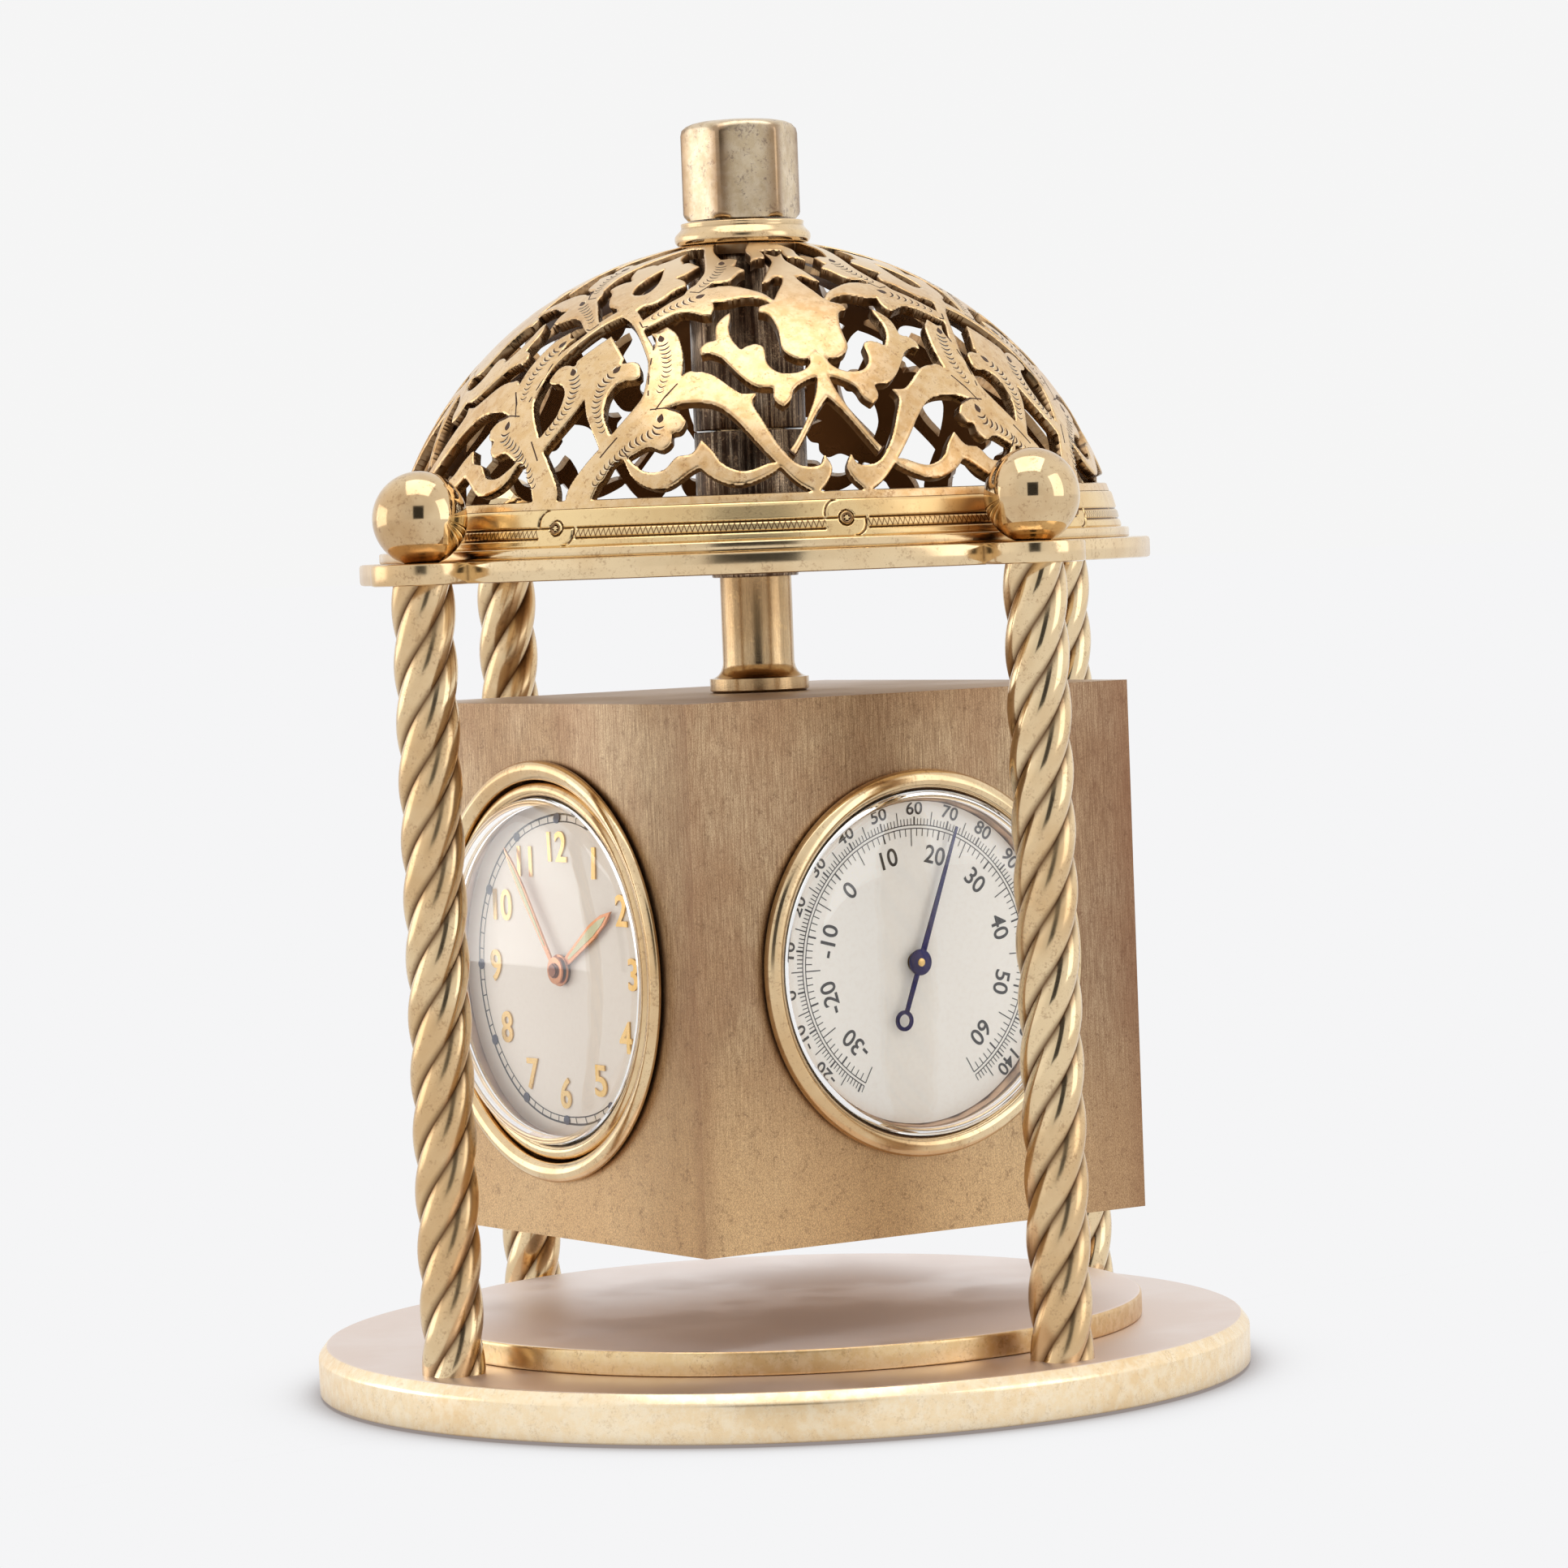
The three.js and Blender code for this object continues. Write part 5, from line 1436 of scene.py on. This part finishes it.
collarCorners = [
    ("inner", 0, "low", 0),
    ("outer", -0.4, "low", 0),
    ("outer", 0, "low", 0.5),
    ("outer", 0, "low", 1.3),
    ("outer", -0.6, "low", 1.9),
    ("outer", -0.95, "low", 2.3),
    ("outer", -0.8, "high", 0),
    ("inner", 0, "high", 0),
]
sleeves = {"bushIn": 1.7, "gapShare": 0.35, "round": 0.2}
shaftSizes = {
    "play": 0.3,
    "tail": 3.0,
    "flangeEdge": 0.45,
    "flangeSoft": 0.35,
    "flangeHigh": 1.8,
    "coveHigh": 1.2,
}
knob = {
    "turn": math.radians(13.7),
    "around": 144,
    "softness": 7,
    # height from the foot or the top, and how far the corners are worn back there
    "foot": [(0, 0.75), (0.5, 0.2), (0.9, 0.03)],
    "top": [(2.1, 0.03), (1.4, 0.25), (0.9, 0.85), (0.55, 1.65), (0.3, 2.85), (0.08, 5.45)],
}
collarSize = measure("dome_collar", upright)
spindleBore = collarSize["inner"]


def buildSleeves():
    makePiece(
        "collar",
        *turned(rounded(cornersOf(collarSize, collarCorners), 0.5, 4), 96),
        {"finish": "polished", "slot": "polished_brass", "body": "stand", "stands": ["dome_collar"]},
    )
    plateTop = heights("top_plate")[1]
    gap = heights("upper_sleeve")[0] - heights("lower_sleeve")[1]
    closer = sleeves["gapShare"] * gap
    for name in ("upper_sleeve", "lower_sleeve"):
        size = measure(name, upright)
        low, high, tube = size["low"], size["high"], size["outer"]
        profile = [(spindleBore, low - closer), (tube, low - closer), (tube, high), (spindleBore, high)]
        if name == "lower_sleeve":
            bush = tube - sleeves["bushIn"]
            profile = [(spindleBore, low), (bush, low), (bush, plateTop), (tube, plateTop)]
            profile += [(tube, high + closer), (spindleBore, high + closer)]
        makePiece(
            name + "_tube",
            *turned(rounded(profile, sleeves["round"], 2), 96),
            {"finish": "sleeve", "slot": "dark_brass", "body": "stand", "stands": [name]},
        )


def buildShaft():
    size = measure("spindle", upright)
    low, high, flange = size["low"], size["high"], size["outer"]
    shaft, tail = spindleBore - shaftSizes["play"], shaftSizes["tail"]
    shoulder = collarSize["high"] - shaftSizes["play"]
    flangeTop = cubeTop + shaftSizes["flangeHigh"]
    cove = flange - shaft
    profile = [(0, low), (tail, low), (tail, cubeTop), (flange - shaftSizes["flangeEdge"], cubeTop)]
    profile += [(flange, cubeTop + shaftSizes["flangeSoft"]), (flange, flangeTop)]
    for degrees in range(0, 91, 10):
        a = math.radians(degrees)
        rise = shaftSizes["coveHigh"] * cove * (1 - math.cos(a))
        profile.append((flange - cove * math.sin(a), flangeTop + 0.1 + rise))
    profile += [(shaft, shoulder), (tail, shoulder), (tail, high), (0, high)]
    makePiece(
        "shaft",
        *turned(profile, 96),
        {"finish": "shaft", "slot": "polished_brass", "body": "cube", "stands": ["spindle"], "sharp": 50},
    )


def buildKnob():
    foot, top = heights("hex_knob")
    corner = measure("hex_knob", upright)["outer"]
    apothem = corner * math.cos(math.pi / 6)
    crown = [(foot + up, inset) for up, inset in knob["foot"]]
    crown += [(top - down, inset) for down, inset in knob["top"]]
    around, softness = knob["around"], knob["softness"]
    points = []
    for height, inset in crown:
        for i in range(around):
            angle = full * i / around
            part = (angle + math.pi / 6) % (math.pi / 3) - math.pi / 6
            flat = apothem / math.cos(part)
            limit = corner - inset
            radius = -math.log(math.exp(-flat * softness) + math.exp(-limit * softness)) / softness
            turn = angle + knob["turn"] + math.pi / 6
            points.append((radius * math.cos(turn), radius * math.sin(turn), height))
    faces = sideFaces(len(crown), around)
    points.append((0, 0, top))
    last = (len(crown) - 1) * around
    for i in range(around):
        faces.append([last + i, last + (i + 1) % around, len(points) - 1])
    faces.append(list(range(around))[::-1])
    makePiece(
        "knobBody",
        points,
        faces,
        {"finish": "knob", "slot": "golden_brass", "body": "cube", "stands": ["hex_knob"], "sharp": 60},
    )


# Domed crystals, bezels, dials and pointers

crystal = {
    "wall": 0.9,
    "clockWall": 1.0,
    "land": 0.35,
    "rimShare": 0.75,
    "rimPower": 14,
    "steps": 34,
    "spread": 0.6,
}
instrumentRim = [
    ("inner", 0, "low", 0),
    ("outer", -0.2, "low", 0),
    ("outer", 0, "low", 0.45),
    ("outer", -0.2, "high", -0.6),
    ("outer", -0.8, "high", -0.15),
    ("outer", -1.6, "high", 0),
    ("outer", -2.2, "high", -0.25),
    ("outer", -2.45, "high", -0.65),
    ("inner", 0.95, "low", 0.6),
    ("inner", 0, "low", 0.6),
]
clockCollar = [
    ("inner", 0, "low", 0),
    ("inner", 0.8, "low", 0),
    ("inner", 0.8, "face", 0.3),
    ("outer", -0.2, "face", 0.3),
    ("outer", 0, "face", 0.8),
    ("outer", -0.4, "face", 1.35),
    ("outer", -1.1, "face", 1.6),
    ("outer", -1.9, "face", 1.45),
    ("inner", 0, "face", 0.9),
]
clockRim = [
    ("inner", 0, "low", 0),
    ("outer", 0, "low", 0),
    ("outer", 0, "high", -0.8),
    ("outer", -0.3, "high", -0.3),
    ("outer", -0.8, "high", 0),
    ("outer", -1.4, "high", -0.05),
    ("outer", -1.8, "high", -0.4),
    ("inner", 0.75, "high", -0.8),
    ("inner", 0, "high", -0.8),
]


def crystalProfile(size, wall):
    # nearly flat on top, with a steep rim
    def rise(r):
        steep = math.sqrt(max(1 - r ** crystal["rimPower"], 0))
        return crystal["rimShare"] * steep + (1 - crystal["rimShare"]) * (1 - r * r)

    radius, foot, top = size["outer"], size["low"], size["high"]
    land = foot + crystal["land"]
    outer = []
    inner = []
    for i in range(crystal["steps"] + 1):
        r = math.sin(math.pi / 2 * i / crystal["steps"]) ** crystal["spread"]
        outer.append((radius * r, land + (top - land) * rise(r)))
        inner.append(((radius - wall) * r, foot + (top - wall - foot) * rise(r)))
    return inner + [(radius, foot)] + outer[::-1]


rimRound = 0.25


def bezelPiece(name, node, corners, place, body):
    profile = rounded(cornersOf({**measure(node, place), "face": 0}, corners), rimRound)
    look = {"finish": "polished", "slot": "polished_brass", "body": body, "stands": [node]}
    makePiece(name, *turned(profile), {**look, "matrix": place})


def crystalPiece(name, node, wall, place, body):
    glass = turned(crystalProfile(measure(node, place), wall))
    look = {"finish": "glass", "slot": "crystal", "body": body, "stands": [node]}
    makePiece(name, *glass, {**look, "matrix": place, "sharp": 60})


def dialPiece(name, node, finish, place, body):
    size = measure(node, place)
    plate = ringOutline(size["inner"], size["outer"], size["low"], size["high"], 120)
    look = {"slot": "dial", "body": body, "matrix": place}
    makePiece(name, *plate, {**look, "finish": finish, "stands": [node]})
    return look, size["high"], size["outer"]


letterShare = 1.35  # a font's size over the height of its numbers


def textShape(shape, words, size, place, weight=0.0, depth=0.02):
    curve = bpy.data.curves.new("label", "FONT")
    curve.body = words
    curve.size = size * letterShare
    curve.offset = weight
    curve.extrude = depth
    curve.resolution_u = 6
    holder = bpy.data.objects.new("label", curve)
    bpy.context.scene.collection.objects.link(holder)
    bpy.context.view_layer.update()
    made = bpy.data.meshes.new_from_object(holder.evaluated_get(bpy.context.evaluated_depsgraph_get()))
    points = np.array([v.co for v in made.vertices])
    faces = [list(p.vertices) for p in made.polygons]
    low, high = points.min(0), points.max(0)
    points -= (low + high) / 2
    shape.add([tuple(p) for p in points], faces, place)
    bpy.data.objects.remove(holder)
    bpy.data.curves.remove(curve)
    bpy.data.meshes.remove(made)


def tick(shape, degrees, start, end, width, level):
    outline = [(-width / 2, start), (width / 2, start), (width / 2, end), (-width / 2, end)]
    shape.add([(x, y, level) for x, y in outline], [[0, 1, 2, 3]], clockwise(degrees))


def circleLine(shape, radius, width, level, start=0.0, end=360.0):
    steps = max(2, int((end - start) * 0.5))
    points = []
    for i in range(steps + 1):
        angle = math.radians(start + (end - start) * i / steps)
        for r in (radius - width / 2, radius + width / 2):
            points.append((r * math.sin(angle), r * math.cos(angle), level))
    faces = [[2 * i, 2 * i + 1, 2 * i + 3, 2 * i + 2] for i in range(steps)]
    shape.add(points, faces)


printing = {
    "lift": 0.03,
    "line": 0.13,
    "bold": 0.04,
    # length as a share of the scale's short or long mark, and width
    "major": (1.25, 0.24),
    "minor": (1.0, 0.14),
    "small": (1.0, 0.12),
}


def scaleLine(shape, scale, dial, level):
    line = scale["radius"] * dial
    at = scale["at"]
    circleLine(shape, line, printing["line"], level, at(scale["low"]), at(scale["high"]))
    steps = round((scale["high"] - scale["low"]) / scale["step"])
    for number in range(steps + 1):
        value = scale["low"] + number * scale["step"]
        whole = round(value / scale["step"])
        kind, base = "small", scale["short"]
        if whole % scale["major"] == 0:
            kind = "major"
        elif whole % scale["minor"] == 0:
            kind, base = "minor", scale["long"]
        share, width = printing[kind]
        tick(shape, at(value), line, line + scale["sense"] * base * share, width, level)
    for number in scale["labels"]:
        spot = Matrix.Translation((0, 0, level)) @ clockwise(at(number), scale["labelRadius"] * dial)
        textShape(shape, str(number), scale["size"], spot, printing["bold"], 0.0)


# radius and labelRadius are shares of the dial's radius
inside = {"minor": 5, "major": 10, "radius": 0.812, "sense": -1, "short": 1.0, "long": 2.3, "size": 2.45}
outside = {"minor": 5, "major": 10, "radius": 0.833, "sense": 1, "short": 0.9, "long": 1.9, "size": 2.0}
degreesEach = 3.0
dialScales = {
    "thermometer": [
        {
            **inside, "low": -35, "high": 65, "step": 1, "labels": range(-30, 61, 10), "labelRadius": 0.66,
            "at": lambda v: (v - 15) * degreesEach,
        },
        {
            **outside, "low": -31, "high": 149, "step": 1, "labels": range(-20, 141, 10), "labelRadius": 0.945,
            "at": lambda v: ((v - 32) / 1.8 - 15) * degreesEach,
        },
    ],
    "barometer": [
        {
            **inside, "low": 960, "high": 1060, "step": 1, "labels": range(960, 1061, 20), "labelRadius": 0.66,
            "at": lambda v: (v - 1010) * degreesEach, "size": 2.0,
        },
        {
            **outside, "low": 72, "high": 79.5, "step": 0.1, "labels": range(72, 80), "labelRadius": 0.945,
            "at": lambda v: (v * 13.332 - 1010) * degreesEach,
        },
    ],
    "hygrometer": [
        {
            **inside, "low": 0, "high": 100, "step": 1, "labels": range(0, 101, 10), "labelRadius": 0.7,
            "at": lambda v: (v - 50) * degreesEach, "radius": 0.864,
        },
    ],
}
pointer = {
    "turn": {"thermometer": 21, "barometer": 12, "hygrometer": 14},
    "lift": 0.9,
    "thick": 0.22,
    "tip": 0.864,  # share of the dial's radius, like the ring's centre
    "ringCentre": 0.37,
    "ringReach": 1.35,
    "ringBore": 0.62,
    "tailMeets": 0.9,
    "halfWidths": {"blade": 0.42, "tip": 0.17, "tail": 0.36, "tailEnd": 0.3},
    "hub": 1.7,
    "hubHeights": (-0.1, 0.32),
    "hubSoft": 0.12,
    "pin": 0.7,
    "pinDeep": 5.5,
    "pinHead": 0.55,
    "headHeights": (0.3, 0.45),
    "headSoft": 0.08,
}


def disc(radius, low, high, soft, sides=48):
    return turned(rounded([(0, low), (radius, low), (radius, high), (0, high)], soft, 3, False), sides)


def buildPointer(name, place, dial, level):
    shape = Shape()
    turn = clockwise(pointer["turn"][name])
    wide = pointer["halfWidths"]
    ringCentre, ringReach = pointer["ringCentre"] * dial, pointer["ringReach"]
    tip, top = pointer["tip"] * dial, level + pointer["thick"]
    blade = [(-wide["blade"], 0), (wide["blade"], 0), (wide["tip"], tip), (-wide["tip"], tip)]
    shape.add(*prism(blade, level, top), turn)
    end = ringCentre - pointer["tailMeets"] * ringReach
    tail = [(-wide["tailEnd"], -end), (wide["tailEnd"], -end), (wide["tail"], 0), (-wide["tail"], 0)]
    shape.add(*prism(tail, level, top), turn)
    ring = turn @ Matrix.Translation((0, -ringCentre, 0))
    shape.add(*ringOutline(pointer["ringBore"] * ringReach, ringReach, level, top, 40), ring)
    hubLow, hubHigh = pointer["hubHeights"]
    shape.add(*disc(pointer["hub"], level + hubLow, level + hubHigh, pointer["hubSoft"]))
    look = {"slot": "blued_steel", "body": name + "_pointer", "matrix": place}
    made = {**look, "finish": "blued", "stands": [name + "_hand"]}
    makePiece(name + "Pointer", shape.points, shape.faces, made)
    pin = Shape()
    pinReach, deep = pointer["pin"], level - pointer["pinDeep"]
    pin.add(*turned([(0, deep), (pinReach, deep), (pinReach, level), (0, level)], 24))
    headLow, headHigh = pointer["headHeights"]
    pin.add(*disc(pointer["pinHead"], level + headLow, level + headHigh, pointer["headSoft"], 24))
    makePiece(name + "Pin", pin.points, pin.faces, {**look, "finish": "numeral"})


def buildInstrument(name):
    place = faceMatrix(name + "_turn")
    bezelPiece(name + "Rim", name + "_bezel", instrumentRim, place, "cube")
    crystalPiece(name + "Glass", name + "_crystal", crystal["wall"], place, "cube")
    look, level, dial = dialPiece(name + "Plate", name + "_dial", "dial", place, "cube")
    prints = Shape()
    for scale in dialScales[name]:
        scaleLine(prints, scale, dial, level + printing["lift"])
    makePiece(name + "Print", prints.points, prints.faces, {**look, "finish": "ink", "orient": False})
    buildPointer(name, place, dial, level + pointer["lift"])


# The clock. Track, numbers and hands are shares of the dial's radius.

clockFace = {
    "trackInner": 0.823,
    "trackOuter": 0.865,
    "thin": 0.16,
    "thick": 0.3,
    "dot": 0.7,
    "dotHigh": 0.18,
    "soft": 0.1,
    "numbers": 0.684,
    "numberSize": 4.2,
    "numberLift": 0.12,
    "numberBold": 0.1,
    "numberRaised": 0.1,
    "hands": {
        "hour": {"length": 0.616, "width": 2.1, "turn": 57, "lift": 0.4, "hub": 2.1},
        "minute": {"length": 0.827, "width": 1.3, "turn": 324, "lift": 1.0, "hub": 1.8},
    },
    "hubHigh": 0.3,
    "hubSoft": 0.12,
    "cap": 1.0,
    "capLift": 1.3,
    "capHigh": 0.2,
}
# The metal of a hand and its lume. Each side point is a share of the width and a share of the length,
# from the tip down.
handForms = [
    {"tip": 1.0, "side": [(0.36, 0.86), (0.5, 0.66), (0.22, 0)], "heights": (0, 0.25)},
    {"tip": 0.92, "side": [(0.2, 0.83), (0.3, 0.66), (0.08, 0.2)], "heights": (0.2, 0.3)},
]


def clockHandShapes(length, width, level):
    shapes = []
    for form in handForms:
        low, high = form["heights"]
        outline = [(0, form["tip"])] + [(-a, b) for a, b in form["side"]] + form["side"][::-1]
        shapes.append(prism([(a * width, b * length) for a, b in outline], level + low, level + high))
    return shapes


def buildClock():
    place = faceMatrix("minute_turn")
    bezelPiece("clockCollar", "clock_ring", clockCollar, place, "cube")
    bezelPiece("clockRim", "clock_bezel", clockRim, place, "clock_insert")
    crystalPiece("clockGlass", "clock_crystal", crystal["clockWall"], place, "clock_insert")
    look, level, radius = dialPiece("clockPlate", "clock_dial", "clockDial", place, "clock_insert")
    printed = level + printing["lift"]
    track = Shape()
    trackInner, trackOuter = clockFace["trackInner"] * radius, clockFace["trackOuter"] * radius
    circleLine(track, trackInner, clockFace["thin"], printed)
    circleLine(track, trackOuter, clockFace["thick"], printed)
    for minute in range(60):
        tick(track, minute * 6, trackInner, trackOuter, clockFace["thin"], printed)
    makePiece("clockTrack", track.points, track.faces, {**look, "finish": "ink", "orient": False})
    dots = Shape()
    numerals = Shape()
    for hour in range(1, 13):
        turn = clockwise(hour * 30, (trackInner + trackOuter) / 2)
        dots.add(*disc(clockFace["dot"], level, level + clockFace["dotHigh"], clockFace["soft"], 20), turn)
        spot = clockwise(hour * 30, clockFace["numbers"] * radius).translation
        upward = Matrix.Translation((spot.x, spot.y, level + clockFace["numberLift"]))
        bold, raised = clockFace["numberBold"], clockFace["numberRaised"]
        textShape(numerals, str(hour), clockFace["numberSize"], upward, bold, raised)
    makePiece("clockDots", dots.points, dots.faces, {**look, "finish": "slate"})
    makePiece("clockNumerals", numerals.points, numerals.faces, {**look, "finish": "numeral", "orient": False})
    for name, hand in clockFace["hands"].items():
        turn = clockwise(hand["turn"])
        low = level + hand["lift"]
        metalPart, lumePart = clockHandShapes(hand["length"] * radius, hand["width"], low)
        shape = Shape()
        shape.add(*metalPart, turn)
        shape.add(*disc(hand["hub"], low, low + clockFace["hubHigh"], clockFace["hubSoft"]))
        look = {"slot": "copper", "body": name + "_train", "matrix": place}
        made = {**look, "finish": "copper", "stands": [name + "_hand"]}
        makePiece(name + "Hand", shape.points, shape.faces, made)
        lume = Shape()
        lume.add(*lumePart, turn)
        makePiece(name + "Lume", lume.points, lume.faces, {**look, "finish": "lume"})
    low = level + clockFace["capLift"]
    cap = disc(clockFace["cap"], low, low + clockFace["capHigh"], clockFace["soft"], 40)
    look = {"finish": "spotCopper", "slot": "copper", "body": "minute_train", "matrix": place}
    makePiece("clockCap", *cap, look)


# CAD nodes that stay as they are take these finishes

keptFinishes = {
    "base_felt": "felt",
    "cube_case": "cube",
    "cube_cover": "cube",
    "spindle_nut": "steel",
    "clock_case": "ledge",
    "thermometer_case": "ledge",
    "barometer_case": "ledge",
    "hygrometer_case": "ledge",
    "bimetal_coil": "copper",
    "hygroscopic_coil": "copper",
    "aneroid_capsule": "golden",
    "movement_front_plate": "golden",
    "movement_back_plate": "golden",
    "mainspring_barrel": "golden",
    "winding_key": "steel",
    "centre_arbor": "spotCopper",
    "setting_knob": "golden",
    "minute_wheel": "golden",
    "hour_wheel": "golden",
    "balance_wheel": "golden",
}
cubeEdge = 0.3


def finishKeptNodes():
    for name, made in nodes.items():
        look = keptFinishes.get(name, "steel" if "screw" in name else None)
        if look:
            made.data.materials.clear()
            made.data.materials.append(finishes[look])
        if look != "cube":
            made.data.shade_smooth()
            made.data.set_sharp_from_angle(angle=math.radians(keptSharp))
    soften(nodes["cube_case"], cubeEdge)


buildBase()
buildColumns()
buildTopPlate()
buildDomeRing()
print("stand built")
buildDome()
buildGraverMarks()
print("dome built")
buildSleeves()
buildShaft()
buildKnob()
for instrument in ("thermometer", "barometer", "hygrometer"):
    buildInstrument(instrument)
buildClock()
finishKeptNodes()
print("turning part built")


# Camera, floor and light

camera = {
    "place": (0.07135, -0.76627, 0.11239),
    "yaw": 0.08925,
    "pitch": 0.0430,
    "roll": 0.0376,
    "focalPixels": 7080.6,
    "framePixels": 1932,
    "sensor": 36,
    "clip": (0.05, 20),
}
studio = {
    "floor": rgb(245, 245, 246),
    # colour of the painted contact shadow on the floor, and how far it reaches
    "contactShadow": rgb(150, 140, 136),
    "contactShadowReach": 0.02,
    "floorSize": 40,
    "floorDrop": 0.1 * mm,
    "background": 0.915,
    "level": 0.84,
    # how much lighter it gets to the left, to the right, behind and above
    "lighter": {"left": 0.2, "right": 0.12, "behind": 0.12, "above": 0.1},
    # the dark opening that the camera stands in: its middle and half width, across and up
    "slot": {"middle": (0.09, 0.05), "half": ((0.2, 0.24), (0.45, 0.5)), "depth": 0.94},
}
softboxes = {
    "leftSoftbox": {"place": (-0.85, 0.1, 0.1), "target": (0, 0, 0.08), "size": (0.6, 0.6), "power": 1.3},
    "rightSoftbox": {"place": (0.8, -0.3, 0.4), "target": (0, 0, 0.08), "size": (0.45, 0.7), "power": 1.0},
    "topSoftbox": {"place": (0, -0.1, 0.9), "target": (0, 0, 0.05), "size": (0.7, 0.7), "power": 2.2},
}


def buildCamera():
    yaw, pitch, roll = camera["yaw"], camera["pitch"], camera["roll"]
    ahead = Vector((-math.sin(yaw) * math.cos(pitch), math.cos(yaw) * math.cos(pitch), -math.sin(pitch)))
    right = Vector((math.cos(yaw), math.sin(yaw), 0))
    down = ahead.cross(right)
    across = right * math.cos(roll) + down * math.sin(roll)
    below = down * math.cos(roll) - right * math.sin(roll)
    data = bpy.data.cameras.new("camera")
    data.sensor_width = camera["sensor"]
    data.lens = camera["focalPixels"] / camera["framePixels"] * camera["sensor"]
    data.clip_start, data.clip_end = camera["clip"]
    made = bpy.data.objects.new("camera", data)
    bpy.context.scene.collection.objects.link(made)
    turn = Matrix((across, -below, -ahead)).transposed().to_4x4()
    made.matrix_world = Matrix.Translation(camera["place"]) @ turn
    bpy.context.scene.camera = made


def buildFloor():
    material, tree, shader = newMaterial("studio floor")
    # the floor glows evenly; ambient occlusion paints a contact shadow on it near the object
    near = node(tree, "ShaderNodeAmbientOcclusion", {"Distance": studio["contactShadowReach"]}, samples=16)
    share = remap(tree, near.outputs["AO"], 0.25, 0.98)
    color = blendColors(tree, share, studio["contactShadow"], studio["floor"])
    glow = node(tree, "ShaderNodeEmission", {"Color": color, "Strength": 1.0})
    tree.links.new(glow.outputs[0], tree.nodes["Material Output"].inputs["Surface"])
    tree.nodes.remove(shader)
    bpy.ops.mesh.primitive_plane_add(size=studio["floorSize"], location=(0, 0, -studio["floorDrop"]))
    floor = bpy.context.object
    floor.name = "studioFloor"
    floor.data.materials.append(material)


def buildWorld():
    world = bpy.data.worlds.new("studio")
    bpy.context.scene.world = world
    world.use_nodes = True
    tree = world.node_tree
    back = tree.nodes["Background"]
    way = node(tree, "ShaderNodeTexCoord").outputs["Generated"]
    x, y, z = node(tree, "ShaderNodeSeparateXYZ", {0: way}).outputs
    lighter = studio["lighter"]
    left = remap(tree, x, -0.3, -0.9, 0.0, lighter["left"])
    right = remap(tree, x, 0.3, 0.9, 0.0, lighter["right"])
    behind = remap(tree, y, -0.2, 0.8, 0.0, lighter["behind"])
    above = remap(tree, z, 0.3, 0.95, 0.0, lighter["above"])
    level = total(tree, studio["level"], left, right, behind, above)
    slot = remap(tree, y, -0.6, -0.9)
    for axis, middle, half in zip((x, z), studio["slot"]["middle"], studio["slot"]["half"]):
        slot = math2(tree, "MULTIPLY", slot, remap(tree, distance(tree, axis, middle), *half, 1.0, 0.0))
    dark = math2(tree, "MULTIPLY", slot, studio["slot"]["depth"])
    level = math2(tree, "MULTIPLY", level, math2(tree, "SUBTRACT", 1.0, dark))
    path = node(tree, "ShaderNodeLightPath").outputs["Is Camera Ray"]
    plain = math2(tree, "MULTIPLY", path, studio["background"])
    lighting = math2(tree, "MULTIPLY", math2(tree, "SUBTRACT", 1.0, path), level)
    back.inputs["Color"].default_value = (1, 1, 1, 1)
    tree.links.new(math2(tree, "ADD", plain, lighting), back.inputs["Strength"])


def addSoftbox(name, box):
    data = bpy.data.lights.new(name, "AREA")
    data.shape = "RECTANGLE"
    data.size, data.size_y = box["size"]
    data.energy = box["power"]
    light = bpy.data.objects.new(name, data)
    bpy.context.scene.collection.objects.link(light)
    light.location = box["place"]
    light.rotation_mode = "QUATERNION"
    light.rotation_quaternion = (Vector(box["target"]) - Vector(box["place"])).to_track_quat("-Z", "Y")


buildCamera()
buildFloor()
buildWorld()
for name, box in softboxes.items():
    addSoftbox(name, box)
print("studio built")

bpy.context.scene.view_settings.view_transform = "Standard"

print("scene ready")
